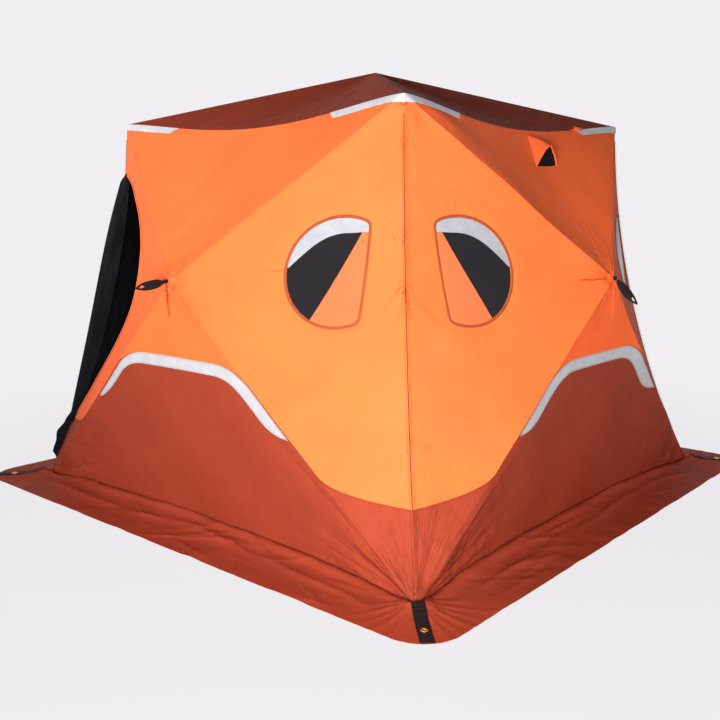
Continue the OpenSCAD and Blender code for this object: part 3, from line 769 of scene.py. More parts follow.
class Finish(Nodes):
    """A node material on a Principled shader."""

    def __init__(self, name):
        self.material = bpy.data.materials.new(name)
        self.material.use_nodes = True
        super().__init__(self.material.node_tree)
        self.shader = self.tree.nodes["Principled BSDF"]
        self.place = None
        self.bumped = None

    def set(self, **values):
        for key, value in values.items():
            self.put(value, self.shader.inputs[key.replace("_", " ")])

    def coords(self, kind="UV"):
        if self.place is None:
            self.place = self.node("ShaderNodeTexCoord").outputs[kind]
        return self.place

    def stretched(self, scale, turn=0.0):
        """The piece's coordinates, scaled along each axis."""
        return self.node("ShaderNodeMapping", {
            "Vector": self.coords(), "Scale": scale, "Rotation": (0, 0, turn)}).outputs["Vector"]

    def noise(self, scale, detail=3.0, rough=0.55, warp=0.0, vector=None):
        return self.node("ShaderNodeTexNoise", {
            "Vector": vector or self.coords(), "Scale": scale, "Detail": detail,
            "Roughness": rough, "Distortion": warp}).outputs["Fac"]

    def wave(self, direction, period):
        """Bands across one axis, with a period in metres."""
        return self.node("ShaderNodeTexWave", {
            "Vector": self.coords(), "Scale": 2 * math.pi / 20 / period, "Distortion": 0.3},
            wave_type="BANDS", bands_direction=direction).outputs["Fac"]

    def ramp(self, factor, low, high, start=0.3, end=0.7):
        """A blend of two colours or levels by a factor."""
        levels = isinstance(low, (int, float))
        share = self.node("ShaderNodeMapRange", {
            "Value": factor, "From Min": start, "From Max": end,
            "To Min": low if levels else 0.0, "To Max": high if levels else 1.0}).outputs[0]
        if levels:
            return share
        blend = self.node("ShaderNodeMix", data_type="RGBA")
        self.put(share, blend.inputs[0])
        self.put((*low, 1.0), blend.inputs[6])
        self.put((*high, 1.0), blend.inputs[7])
        return blend.outputs[2]

    def bump(self, height, strength, distance):
        """Lays one more relief over those before it."""
        values = {"Height": height, "Strength": strength, "Distance": distance}
        if self.bumped is not None:
            values["Normal"] = self.bumped
        self.bumped = self.node("ShaderNodeBump", values).outputs["Normal"]
        self.put(self.bumped, self.shader.inputs["Normal"])


def shade(colour, factor):
    return [min(1.0, c * factor) for c in colour]


def fabric(name, colour, crumple=0.25, gloss=0.05):
    """Coated polyester: a plain weave, small creases, and pulled wrinkles where the panels store them."""
    made = Finish(name)
    dye = made.noise(3.5, 4.0, 0.6, 0.4)
    made.set(Base_Color=made.ramp(dye, shade(colour, 0.92), shade(colour, 1.06)))
    made.set(Roughness=made.ramp(made.noise(14.0, 3.0), 0.5, 0.62), Specular_IOR_Level=gloss)
    made.bump(made.noise(24.0, 5.0, 0.62, 0.9), crumple, 0.004)
    made.bump(made.noise(9.0, 4.0, 0.7, 0.2, made.stretched((7.0, 0.7, 1.0), 0.6)), 0.15, 0.005)
    grain = made.node("ShaderNodeUVMap", uv_map="grain").outputs["UV"]
    pull = made.node("ShaderNodeAttribute", attribute_name="pull").outputs["Fac"]
    patches = made.ramp(made.noise(6.0, 2.0), 0.2, 1.0, 0.4, 0.6)
    ridges = made.math("MULTIPLY", made.noise(1.0, 3.0, 0.6, 0.35, grain), patches)
    made.bump(made.math("MULTIPLY", ridges, pull), 1.0, 0.016)
    weave = made.math("MULTIPLY", made.wave("X", 0.0011), made.wave("Y", 0.0011))
    made.bump(weave, 0.12, 0.0003)
    return made.material


def lining(name, colour):
    """The black coated side: long soft streaks, lighter in colour as a painted sheen, with a dull shine."""
    made = Finish(name)
    streaks = made.noise(7.0, 4.0, 0.6, 0.5, made.stretched((6.0, 0.8, 1.0)))
    # Painted sheen: the colour runs lighter along the streaks
    made.set(Base_Color=made.ramp(streaks, shade(colour, 0.55), shade(colour, 1.5)))
    made.set(Roughness=made.ramp(streaks, 0.75, 0.55), Specular_IOR_Level=0.04)
    made.bump(streaks, 0.4, 0.006)
    made.bump(made.noise(40.0, 4.0, 0.6, 0.8), 0.2, 0.002)
    return made.material


def reflective(name, colour):
    """Glass-bead tape: pale grey cells on a soft metallic sheen."""
    made = Finish(name)
    cells = made.node("ShaderNodeTexVoronoi", {"Vector": made.coords(), "Scale": 320.0},
                      feature="DISTANCE_TO_EDGE").outputs["Distance"]
    grime = made.noise(18.0, 4.0, 0.6, 0.5)
    made.set(Base_Color=made.ramp(grime, shade(colour, 0.88), shade(colour, 1.05)))
    made.set(Roughness=made.ramp(cells, 0.55, 0.32, 0.0, 0.25), Metallic=0.15, Specular_IOR_Level=0.5)
    made.bump(cells, 0.12, 0.0006)
    made.bump(made.noise(22.0, 4.0, 0.65, 0.8, made.stretched((2.2, 0.8, 1.0), 0.9)), 0.35, 0.004)
    return made.material


def dark_film(name, colour):
    """Window film, an opaque sheet painted dark as the shade inside the shelter and raised a little as a
    painted reflection, with a loose, slightly wavy gloss over fine netting.
    """
    made = Finish(name)
    net = made.math("MULTIPLY", made.wave("X", 0.0024), made.wave("Y", 0.0024))
    made.set(Base_Color=made.ramp(net, shade(colour, 0.6), shade(colour, 1.5)))
    made.set(Roughness=made.ramp(made.noise(5.0, 3.0), 0.16, 0.3), Specular_IOR_Level=0.2)
    made.bump(made.noise(7.0, 3.0, 0.5, 0.4), 0.3, 0.006)
    return made.material


def clear_film(name):
    """Clear window film in front of the shade, with a tinge of the fabric."""
    made = Finish(name)
    tinge = (0.5, 0.2, 0.12, 1.0)
    made.set(Base_Color=tinge, Alpha=0.1, Specular_IOR_Level=0.4)
    made.set(Roughness=made.ramp(made.noise(6.0, 3.0), 0.12, 0.24))
    made.bump(made.noise(7.0, 3.0, 0.5, 0.4), 0.25, 0.006)
    return made.material


def webbing(name, colour):
    """Woven strap: ribs along its length and a diagonal weave."""
    made = Finish(name)
    ribs = made.wave("Y", 0.0034)
    twill = made.wave("DIAGONAL", 0.0022)
    cover = made.math("MULTIPLY", ribs, twill)
    made.set(Base_Color=made.ramp(cover, shade(colour, 0.5), shade(colour, 1.5), 0.1, 0.8))
    made.set(Roughness=made.ramp(cover, 0.7, 0.5), Specular_IOR_Level=0.15)
    made.bump(cover, 0.5, 0.0006)
    return made.material


def plastic(name, colour):
    """Moulded nylon with a fine grain."""
    made = Finish(name)
    made.coords("Object")
    grain = made.noise(420.0, 2.0)
    wear = made.noise(28.0, 5.0, 0.6)
    made.set(Base_Color=made.ramp(wear, shade(colour, 0.75), shade(colour, 1.5)))
    made.set(Roughness=made.ramp(wear, 0.42, 0.58), Specular_IOR_Level=0.45)
    made.bump(grain, 0.15, 0.0004)
    return made.material


def glass_fibre(name, colour):
    """Pultruded rod: fine fibres under a thin resin gloss."""
    made = Finish(name)
    made.coords("Object")
    fibres = made.noise(160.0, 4.0, 0.6, 1.2)
    made.set(Base_Color=made.ramp(fibres, shade(colour, 0.6), shade(colour, 1.4)))
    made.set(Roughness=made.ramp(fibres, 0.3, 0.45), Coat_Weight=0.25, Coat_Roughness=0.2)
    made.bump(fibres, 0.1, 0.0004)
    return made.material


def brass(name, colour):
    """Pressed brass, a little worn and dulled."""
    made = Finish(name)
    made.coords("Object")
    tarnish = made.noise(150.0, 5.0, 0.65, 0.3)
    made.set(Base_Color=made.ramp(tarnish, shade(colour, 0.6), shade(colour, 1.05)))
    made.set(Roughness=made.ramp(tarnish, 0.42, 0.24), Metallic=1.0)
    made.bump(made.noise(900.0, 2.0), 0.06, 0.0002)
    return made.material


def braid(name, colour):
    """Braided cord: crossed strands round the cord."""
    made = Finish(name)
    strands = made.math("MULTIPLY", made.wave("DIAGONAL", 0.0026), made.wave("X", 0.0019))
    made.set(Base_Color=made.ramp(strands, shade(colour, 0.55), shade(colour, 1.15), 0.1, 0.8))
    made.set(Roughness=made.ramp(strands, 0.75, 0.55), Specular_IOR_Level=0.15)
    made.bump(strands, 0.6, 0.0008)
    return made.material


def finish(name):
    """One of the shelter's finishes, made when it is first asked for."""
    found = bpy.data.materials.get(name)
    if found:
        return found
    c = colours()
    makers = {
        "orange fabric": lambda: fabric(name, c.orange),
        "rust fabric": lambda: fabric(name, c.rust),
        "binding fabric": lambda: fabric(name, c.binding),
        # Painted light: the skirt is the rust fabric painted 1.2 times lighter, for the stronger light on
        # the skirt
        "skirt fabric": lambda: fabric(name, shade(c.rust, 1.2), 0.5),
        "seam thread": lambda: braid(name, c.thread),
        "dark thread": lambda: braid(name, c.dark_thread),
        "roof fabric": lambda: fabric(name, c.roof, gloss=0.01),
        "black lining": lambda: lining(name, c.lining),
        "reflective tape": lambda: reflective(name, c.tape),
        "window tape": lambda: reflective(name, c.window_tape),
        "dark film": lambda: dark_film(name, c.film),
        "clear film": lambda: clear_film(name),
        "black webbing": lambda: webbing(name, c.webbing),
        "hub plastic": lambda: plastic(name, c.plastic),
        "glass-fibre pole": lambda: glass_fibre(name, c.pole),
        "eyelet brass": lambda: brass(name, c.brass),
        "braided cord": lambda: braid(name, c.cord),
    }
    return makers[name]()


# Pieces

class SHELTER_OT_stage(bpy.types.Operator):
    """Floor, lamps, backdrop and camera"""

    bl_idname = "shelter.stage"
    bl_label = "Stage"

    def execute(self, context):
        studio = context.scene.shelter_studio
        self.floor(context)
        self.backdrop(context, studio)
        # Each lamp's name, place, target, size, power and spread
        self.lamp("key_light", (2.9, -3.95, 1.0), (0.5, -0.8, 0.8), 1.4, studio.key_power)
        self.lamp("fill_light", (-2.9, -3.8, 3.2), (-0.4, -1.0, 1.7), 1.2, studio.fill_power, 55)
        self.lamp("back_light", (-3.6, 3.8, 2.0), (-0.4, 0.6, 0.9), 2.5, studio.back_power)
        self.lamp("side_light", (5.2, -0.4, 0.7), (1.2, 0.0, 1.0), 1.2, studio.side_power)
        data = bpy.data.cameras.new("camera")
        data.sensor_width = 36
        data.lens = studio.lens
        camera = bpy.data.objects.new("camera", data)
        context.scene.collection.objects.link(camera)
        turn = Vector(studio.aim).to_track_quat("-Z", "Y").to_matrix().to_4x4()
        turn = turn @ Matrix.Rotation(studio.roll, 4, "Z")
        camera.matrix_world = Matrix.Translation(studio.eye) @ turn
        context.scene.camera = camera
        context.scene.view_settings.view_transform = "Standard"
        return {"FINISHED"}

    def lamp(self, name, place, target, size, power, spread=180):
        data = bpy.data.lights.new(name, "AREA")
        data.spread = math.radians(spread)
        data.shape = "DISK"
        data.size = size
        data.energy = power
        lamp = bpy.data.objects.new(name, data)
        lamp.visible_camera = False
        bpy.context.scene.collection.objects.link(lamp)
        look = (Vector(target) - Vector(place)).to_track_quat("-Z", "Y").to_matrix().to_4x4()
        lamp.matrix_world = Matrix.Translation(place) @ look

    def floor(self, context):
        bpy.ops.object.select_all(action="DESELECT")
        bpy.ops.mesh.primitive_plane_add(size=60, location=(0, 0, -0.0006))
        floor = context.object
        floor.name = "floor"
        paper = Finish("studio floor")
        colour = colours().paper
        paper.set(Base_Color=(*shade(colour, 0.6), 1.0), Roughness=0.9, Specular_IOR_Level=0.1)
        glow = paper.node("ShaderNodeEmission", {"Color": (*colour, 1.0)})
        away = paper.node("ShaderNodeVectorMath", {0: paper.coords("Object")}, operation="LENGTH")
        fade = paper.ramp(away.outputs["Value"], 0.92, 1.0, 1.9, 3.6)
        paper.show(paper.math("MULTIPLY", paper.seen(), fade), paper.shader, glow, "Material Output")
        floor.data.materials.append(paper.material)

    def backdrop(self, context, studio):
        world = bpy.data.worlds.new("studio")
        context.scene.world = world
        world.use_nodes = True
        nodes = Nodes(world.node_tree)
        soft = nodes.tree.nodes["Background"]
        soft.inputs["Color"].default_value = (1, 1, 1, 1)
        soft.inputs["Strength"].default_value = studio.sky
        paper = nodes.node("ShaderNodeBackground", {"Color": (*colours().paper, 1.0)})
        nodes.show(nodes.seen(), soft, paper, "World Output")


class SHELTER_OT_guy_cord(bpy.types.Operator):
    """Short guy cord that hangs from the front pull strap"""

    bl_idname = "shelter.guy_cord"
    bl_label = "Guy cord"

    route = [
        (0, -1.328, 1.071), (0, -1.328, 1.062), (0.001, -1.328, 1.053), (0.001, -1.329, 1.044),
        (0.002, -1.329, 1.035), (0.003, -1.329, 1.026), (0.004, -1.33, 1.017), (0.005, -1.33, 1.008),
        (0.006, -1.33, 0.999), (0.008, -1.331, 0.99), (0.009, -1.331, 0.981), (0.011, -1.331, 0.972),
        (0.012, -1.332, 0.963), (0.014, -1.332, 0.954), (0.016, -1.332, 0.945), (0.018, -1.332, 0.936),
    ]
    diameter = 0.005

    def execute(self, context):
        spacing, sides = 0.0025, 12
        path = resample(self.route, spacing)
        normals = np.tile((0.0, -1.0, 0.0), (len(path), 1))
        r = self.diameter / 2
        points, faces = sweep(path, normals, round_section(r, sides))
        turn = np.arange(sides) / sides * 2 * math.pi * r
        uv = swept_uv(np.arange(len(path)) * spacing, turn)[:, ::-1]
        cord = piece("guy_cord_line", points, faces, "guy_cord", [finish("braided cord")], uv, ["guy_cord"])
        soften(cord, 50)
        knots = merge([self.knot(path[i], r) for i in (6, 13, 20, 27)])
        knot = piece("guy_cord_knots", *knots, "guy_cord", [finish("braided cord")],
                     knots[0][:, [0, 2]])
        soften(knot, 50)
        return {"FINISHED"}

    def knot(self, centre, r):
        """A turn and a half of cord round the line."""
        turn = np.linspace(0, 3 * math.pi, 30)
        ring = np.column_stack((np.cos(turn), np.sin(turn), 0 * turn)) * 1.5 * r
        ring[:, 2] = np.linspace(0.0026, -0.0026, len(turn)) + 0.0012 * np.sin(turn)
        return sweep(centre + ring, np.tile((0.0, 0.0, 1.0), (len(turn), 1)), round_section(0.62 * r, 8))


class SHELTER_OT_roof_panels(bpy.types.Operator):
    """Four roof panels from the peak down to the eaves"""

    bl_idname = "shelter.roof_panels"
    bl_label = "Roof panels"

    def execute(self, context):
        s = sizes()
        wall = WallShape()
        step = net_step(cloth().coarse_net)
        eave = wall.eave(np.linspace(0, 1, 300))
        plan = resample(eave[:, :2], net_step(cloth().net))
        hip = resample(line((0, 0), (s.top_side / 2, -s.top_side / 2)), step)
        outline = joined(flipped(hip), plan, hip[::-1])
        points, faces = fill(outline, step)
        turn = np.arctan2(eave[:, 0], -eave[:, 1])
        reach = np.hypot(eave[:, 0], eave[:, 1])
        for k, name in enumerate(WALLS):
            x, y = points.T
            at = np.arctan2(x, -y)
            share = np.hypot(x, y) / np.interp(at, turn, reach)
            z = s.peak_height + share * (np.interp(at, turn, eave[:, 2]) - s.peak_height)
            sag = bow(np.clip(share, 0, 1)) * np.cos(2 * at) ** 2
            z += cloth().fabric - 0.012 * sag + self.folds(at, share, k) * smooth(sag / 0.3)
            lifted = turned(np.column_stack((x, y, z)), k)
            obj = piece(f"roof_{name}_cloth", lifted, faces, "rust_fabric",
                        [finish("roof fabric"), finish("black lining")], points, [f"roof_{name}_panel"])
            cut_sheet(obj, points, lifted, faces, cloth().fabric,
                      lined=True)
        return {"FINISHED"}

    def folds(self, at, share, k):
        """Long soft folds from the peak and across the panel."""
        random = np.random.default_rng(FOLD_SEED + 40 + k)
        total = np.zeros_like(at)
        for centre in np.linspace(-0.7, 0.7, 9):
            centre += random.uniform(-0.07, 0.07)
            height = random.uniform(-0.004, 0.004)
            total += height * np.exp(-((at - centre) / random.uniform(0.02, 0.05)) ** 2)
        for _ in range(4):
            total += 0.0015 * np.sin(random.uniform(4, 9) * at + random.uniform(8, 20) * share
                                     + random.uniform(0, 6))
        return total


class SHELTER_OT_top_panels(bpy.types.Operator):
    """Top panel of each wall, between the hub and the eave"""

    bl_idname = "shelter.top_panels"
    bl_label = "Wall top panels"

    def execute(self, context):
        wall = WallShape()
        step = net_step(cloth().net)
        hole = arc(sizes().vent_aside, VentShape().hole_z, sizes().vent_hole_r, 0, 360, 24)[:-1]
        plain = fill(wall.top_outline, step)
        vented = fill(wall.top_outline, step, [hole])
        for k, name in enumerate(WALLS):
            points, faces = vented if k in VENT_WALLS else plain
            wall_panel(Skin(wall, k), f"{name}_wall_top", points, faces, "orange fabric")
        return {"FINISHED"}


class SHELTER_OT_side_panels(bpy.types.Operator):
    """Left and right panel of each wall, with the windows and the doorway cut out"""

    bl_idname = "shelter.side_panels"
    bl_label = "Wall side panels"

    def execute(self, context):
        wall = WallShape()
        step = net_step(cloth().net)
        plain = fill(wall.side_outline, step)
        windowed = fill(wall.side_outline, step, [wall.window()])
        doored = fill(wall.side_outline, step, [wall.door_outline])
        for k, name in enumerate(WALLS):
            skin = Skin(wall, k)
            for side, word in SIDES.items():
                net = windowed if (k, side) in WINDOWS else doored if k == FRONT else plain
                points, faces = mirrored(*net, side)
                wall_panel(skin, f"{name}_wall_{word}", points, faces, "orange fabric")
        return {"FINISHED"}


class SHELTER_OT_center_panels(bpy.types.Operator):
    """Panel between each hub and the lower panel"""

    bl_idname = "shelter.center_panels"
    bl_label = "Wall centre panels"

    def execute(self, context):
        wall = WallShape()
        points, faces = fill(wall.center_outline, net_step(cloth().net))
        for k, name in enumerate(WALLS):
            wall_panel(Skin(wall, k), f"{name}_wall_center", points, faces, "orange fabric",
                       "wall_center_panels")
        return {"FINISHED"}


class SHELTER_OT_lower_panels(bpy.types.Operator):
    """Rust lower panel of each wall, from seam to seam"""

    bl_idname = "shelter.lower_panels"
    bl_label = "Wall lower panels"

    def execute(self, context):
        wall = WallShape()
        corner, reach = sizes().base_side / 2, 0.5
        zones = [((side * corner, 0), reach, net_step(0.006)) for side in (-1, 1)]
        points, faces = fill(wall.lower_outline, net_step(cloth().net), zones=zones)
        for k, name in enumerate(WALLS):
            wall_panel(Skin(wall, k), f"{name}_wall_lower", points, faces, "rust fabric")
        return {"FINISHED"}


def wall_panel(skin, name, points, faces, cloth_finish, node=None):
    """One stretched panel of a wall, lined with black."""
    lifted = skin.at(points)
    obj = piece(f"{name}_cloth", lifted, faces, cloth_finish.replace(" ", "_"),
                [finish(cloth_finish), finish("black lining")], points, [node or f"{name}_panel"])
    pull, across = skin.grain(points)
    obj.data.attributes.new("pull", "FLOAT", "POINT").data.foreach_set("value", pull.astype(np.float32))
    map_points(obj.data, "grain", across)
    cut_sheet(obj, points, lifted, faces, cloth().fabric,
              lined=True)


class SkirtShape:
    """Plan and height of the skirt, in the front wall's place."""

    def __init__(self, k):
        self.s = sizes()
        self.k = k
        random = np.random.default_rng(FOLD_SEED + 60 + k)
        self.phases = random.uniform(0, 2 * math.pi, (5, 3))
        self.creases = [
            (random.uniform(-1.15, 1.15), random.uniform(0.04, 0.24), random.normal(0, 0.35),
             random.uniform(0.05, 0.2), random.uniform(0.007, 0.014), random.uniform(-0.004, 0.008))
            for _ in range(46)]
        # Each pucker's turn from the mitre, and its height
        self.puckers = (
            (0.3, 0.014), (0.52, 0.011), (0.78, 0.016), (1.05, 0.012), (1.35, 0.016), (1.7, 0.013),
            (2.1, 0.01))

    def outline(self, step):
        s = self.s
        half = s.base_side / 2
        outer = half + s.skirt_width
        centre = outer - s.skirt_round
        corner = arc(centre, -centre, s.skirt_round, -90, -45, 12)
        edge = np.concatenate((flipped(corner)[::-1], corner))
        inner = half - 0.08
        t = np.linspace(1, 0, 80)
        wall = WallShape().base(t)[:, :2] + (0, s.skirt_tuck)
        wall = wall[np.abs(wall[:, 0]) < inner - 0.055]
        back = np.concatenate(([(inner, -inner)], wall, [(-inner, -inner)]))
        return joined(
            resample(edge, step), resample(line(edge[-1], back[0]), step),
            resample(back, step), resample(line(back[-1], edge[0]), step))

    def ripple(self, x, row, length):
        """A slow wave along the wall, from -1 to 1."""
        a, b, c = self.phases[row]
        return (np.sin(x / length * 6.28 + a) + 0.6 * np.sin(x / length * 11.3 + b)
                + 0.4 * np.sin(x / length * 19.7 + c)) / 2

    def height(self, x, y):
        """Slope and folds of the skirt, the same on both sides of the corner mitres."""
        s = self.s
        half = s.base_side / 2
        px, py = np.abs(x) - half, -y - half
        t = np.clip(x / s.base_side + 0.5, 0, 1)
        from_corner = np.hypot(np.clip(px, 0, None), np.clip(py, 0, None))
        away = np.where(px > 0, from_corner, py + s.base_in * bow(t))
        middle = smooth(-px / 0.4)
        slope = (1 - np.clip(away / s.skirt_width, 0, 1)) ** 2.2
        total = (0.01 + 0.024 * middle) * slope
        crest = 0.03 + 0.012 * middle * self.ripple(x, 0, 1.3)
        tall = 0.004 + middle * (0.005 + 0.003 * self.ripple(x, 1, 0.9))
        total += tall * np.exp(-((away - crest) / 0.02) ** 2)
        crest = 0.12 + 0.035 * self.ripple(x, 2, 1.6)
        tall = middle * (0.008 + 0.006 * self.ripple(x, 3, 0.8))
        total += tall * np.exp(-np.abs(away - crest) / 0.02)
        total += middle * 0.005 * np.clip(self.ripple(x, 4, 0.5), 0, None) * smooth((away - 0.15) / 0.09)
        for place, out, turn, length, width, tall in self.creases:
            dx, dy = x - place, away - out
            along = dx * math.cos(turn) + dy * math.sin(turn)
            aside = -dx * math.sin(turn) + dy * math.cos(turn)
            crease = np.exp(-(along / length) ** 2 - np.abs(aside) / width)
            total += middle * tall * crease * smooth(away / 0.03)
        r = np.hypot(px, py)
        turn = np.abs(np.arctan2(py, px) - math.pi / 4)
        wedge = sum(tall * np.exp(-np.abs(turn - place) * r / 0.009) for place, tall in self.puckers)
        total += wedge * smooth((r - 0.015) / 0.03) * np.exp(-(r / 0.17) ** 2) * smooth((px + 0.2) / 0.2)
        return cloth().fabric + np.clip(total, 0, None) * smooth((away + 0.004) / 0.02)


class SHELTER_OT_skirts(bpy.types.Operator):
    """Skirt strips that lie on the ice"""

    bl_idname = "shelter.skirts"
    bl_label = "Skirts"

    def execute(self, context):
        s = sizes()
        step = net_step(0.011)
        half, hole_r = s.base_side / 2 + s.eyelet_out, 0.0145
        holes = [arc(side * half, -half, hole_r, 0, 360, 20)[:-1] for side in (-1, 1)]
        outline = SkirtShape(0).outline(step)
        points, faces = fill(outline, step, holes)
        for k, name in enumerate(WALLS):
            shape = SkirtShape(k)
            lifted = turned(np.column_stack((points, shape.height(*points.T))), k)
            obj = piece(f"{name}_skirt_cloth", lifted, faces, "rust_fabric",
                        [finish("skirt fabric"), finish("black lining")], points, [f"{name}_skirt"])
            cut_sheet(obj, points, lifted, faces, cloth().fabric, lined=True)
        return {"FINISHED"}


class SHELTER_OT_lower_tapes(bpy.types.Operator):
    """Reflective tape along the top edge of each lower panel"""

    bl_idname = "shelter.lower_tapes"
    bl_label = "Lower tapes"

    def execute(self, context):
        wall = WallShape()
        step = net_step(0.009)
        for k, name in enumerate(WALLS):
            outer, broad = (resample(e, step) for e in lower_tape_edges(wall, 1, k))
            left = resample(lower_tape_edges(wall, -1, k)[1], step)
            outline = joined(flipped(left)[::-1], broad, outer[::-1], flipped(outer))
            points, faces = fill(outline, step)
            tape_piece(Skin(wall, k), f"{name}_lower_tape", points, faces, "lower_tapes")
        return {"FINISHED"}


def lower_tape_edges(wall, side, k):
    """Outer and inner edge of half a tape, which meet in a tip. The leg beside the doorway is slimmer."""
    s = wall.s
    width, share = (s.tape_door, 0.5) if (k, side) == (FRONT, -1) else (s.tape_side, 0.22)
    turn = math.atan2(s.hub_height, s.base_side / 2)

    def beside_ridge(inset, z):
        return wall.ridge_x(z) - inset / math.sin(turn), z

    inset = s.tape_margin + width
    tip = beside_ridge(s.tape_margin, s.tape_end)
    start = beside_ridge(inset, mix(s.tape_end, s.lower_top, share))
    outer = np.concatenate((wall.bend(s.lower_top, s.tape_margin, s.lower_round), [tip]))
    inner = wall.bend(s.lower_top - s.tape_top, inset, s.lower_round - s.tape_top)
    return outer, np.concatenate((inner, bezier((start, beside_ridge(inset, s.tape_end), tip), 14)))


def tape_piece(skin, name, points, faces, node, out=0.0, look="reflective tape"):
    """A strip of reflective tape on the fabric."""
    thick = cloth().tape
    obj = piece(name, skin.at(points, out + thick), faces, "reflective_tape",
                [finish(look)], points, [node])
    cut_sheet(obj, points, skin.at(points), faces, thick * 1.4)


def eave_tape_outline(wall, step):
    """An eave tape on the right half, with its slanted end."""
    s = wall.s
    end = s.top_side / 2 - 0.0015
    start = s.top_side / 2 - s.eave_tape_length
    upper = wall.eave(0.5 + np.linspace(start, end, 40) / s.top_side)[:, [0, 2]] - (0, 0.001)
    lower = wall.eave(0.5 + np.linspace(start + s.eave_tape_slant, end, 40) / s.top_side)[:, [0, 2]]
    lower = lower - (0, s.eave_tape_width)
    return joined(resample(lower, step), line(lower[-1], upper[-1]),
                  resample(upper[::-1], step), line(upper[0], lower[0]))


class SHELTER_OT_eave_tapes(bpy.types.Operator):
    """Reflective tapes at the top corners"""

    bl_idname = "shelter.eave_tapes"
    bl_label = "Eave tapes"

    def execute(self, context):
        wall = WallShape()
        step = net_step(0.009)
        net = fill(eave_tape_outline(wall, step), step)
        for k, name in enumerate(WALLS):
            for side, word in SIDES.items():
                points, faces = mirrored(*net, side)
                tape_piece(Skin(wall, k), f"{name}_{word}_eave_tape", points, faces, "eave_tapes", 0.003)
        fold_end, fold_r = 0.0185, 0.0055
        path = wall.seam(1, np.linspace(0.0, fold_end, 12))
        out = np.tile(unit(np.array((1.0, -1.0, 0.4))), (len(path), 1))
        points, faces = sweep(path, out, round_section(fold_r, 10))
        for k, name in enumerate(WALLS):
            fold = piece(f"{name}_eave_tape_fold", turned(points, k), faces, "reflective_tape",
                         [finish("reflective tape")], points[:, :2] + points[:, 2:])
            soften(fold, 60)
        return {"FINISHED"}


class SHELTER_OT_windows(bpy.types.Operator):
    """Panes, shades, reflective tapes and sewn bindings of the windows"""

    bl_idname = "shelter.windows"
    bl_label = "Windows"

    def execute(self, context):
        s = sizes()
        wall = WallShape()
        step = net_step(0.01)
        x, z, r = wall.window_x, wall.window_z, s.window_r
        high, low = (x + 0.32 * r, z + 0.72 * r), (x - 0.37 * r, z - 0.75 * r)
        reach = np.array(low) + 0.2 * (np.array(low) - high)
        split = resample(line(np.array(high) + 0.35 * (np.array(high) - low), reach), step)
        split = split[inside(split, wall.window(0.009))]
        pane = fill(wall.window(0.012), step, lines=[split])
        clear = self.right_of(pane, high, low)
        shade = self.cut(fill(wall.window(0.004), net_step(0.009), lines=[split]), high, low)
        crescent = self.crescent(wall, step)
        fabric_depth = cloth().fabric
        for k, side in WINDOWS:
            skin = Skin(wall, k)
            name = f"{WALLS[k]}_{SIDES[side]}_window"
            points, faces = mirrored(*pane, side)
            obj = piece(f"{name}_pane", skin.at(points, -fabric_depth), faces, "window_film",
                        [finish("dark film"), finish("clear film")], points, ["window_panes"])
            obj.data.polygons.foreach_set("material_index", clear.astype(np.int32))
            cut_sheet(obj, points, skin.at(points), faces, 0.0006)
            points, faces = mirrored(*shade, side)
            obj = piece(f"{name}_shade", skin.at(points, -fabric_depth - 0.0012), faces, "orange_fabric",
                        [finish("orange fabric")], points, ["window_shades"])
            cut_sheet(obj, points, skin.at(points), faces, 0.0008)
            points, faces = mirrored(*crescent, side)
            tape_piece(skin, f"{name}_tape", points, faces, "window_tapes", -fabric_depth, "window tape")
            self.binding(skin, side, name)
        return {"FINISHED"}

    def right_of(self, net, high, low):
        """Which triangles lie on the shade's side of the slanted line."""
        centre = net[0][net[1]].mean(axis=1)
        ahead = np.array(low) - high
        gap = centre - high
        return ahead[0] * gap[:, 1] - ahead[1] * gap[:, 0] > 0

    def cut(self, net, high, low):
        points, faces = net
        faces = faces[self.right_of(net, high, low)]
        used, faces = np.unique(faces, return_inverse=True)
        return points[used], faces.reshape(-1, 3)

    def crescent(self, wall, step):
        """The reflective tape across the top of a window, with its curved lower edge."""
        r = wall.s.window_r
        x, z = wall.window_x, wall.window_z
        top, low = z + 0.72 * r, z + 0.03 * r
        start, end = (x + 0.1 * r, top), (x - r, low)
        edge = bezier((start, (x - 0.35 * r, top), (x - 0.6 * r, z + 0.46 * r), end), 40)
        edge = np.concatenate(([(x + r, top)], edge, [(x - 1.2 * r, low)]))
        loop = wall.window(-0.0005)
        upper = loop[loop[:, 1] > np.interp(loop[:, 0], edge[::-1, 0], edge[::-1, 1])]
        start = np.argmax(np.linalg.norm(upper - np.roll(upper, 1, axis=0), axis=1))
        upper = np.roll(upper, -start, axis=0)
        between = edge[(edge[:, 0] > upper[-1, 0]) & (edge[:, 0] < upper[0, 0])][::-1]
        loop = np.concatenate((upper, resample(between, step)))
        return fill(loop, step)

    def binding(self, skin, side, name):
        """A rolled binding sewn round a window."""
        width, spacing = sizes().binding_width, 0.01
        loop = skin.wall.window(width / 2, spacing)
        loop = loop if side > 0 else flipped(loop)
        path, normals = skin.at(loop), skin.normals(loop)
        section = pillow(width, 0.0026)
        points, faces = sweep(path, normals, section, closed=True)
        uv = swept_uv(np.arange(len(loop)) * spacing, np.linspace(0, width, len(section)))
        obj = piece(f"{name}_binding", points, faces, "rust_fabric", [finish("binding fabric")],
                    uv, ["window_bindings"])
        soften(obj, 60)


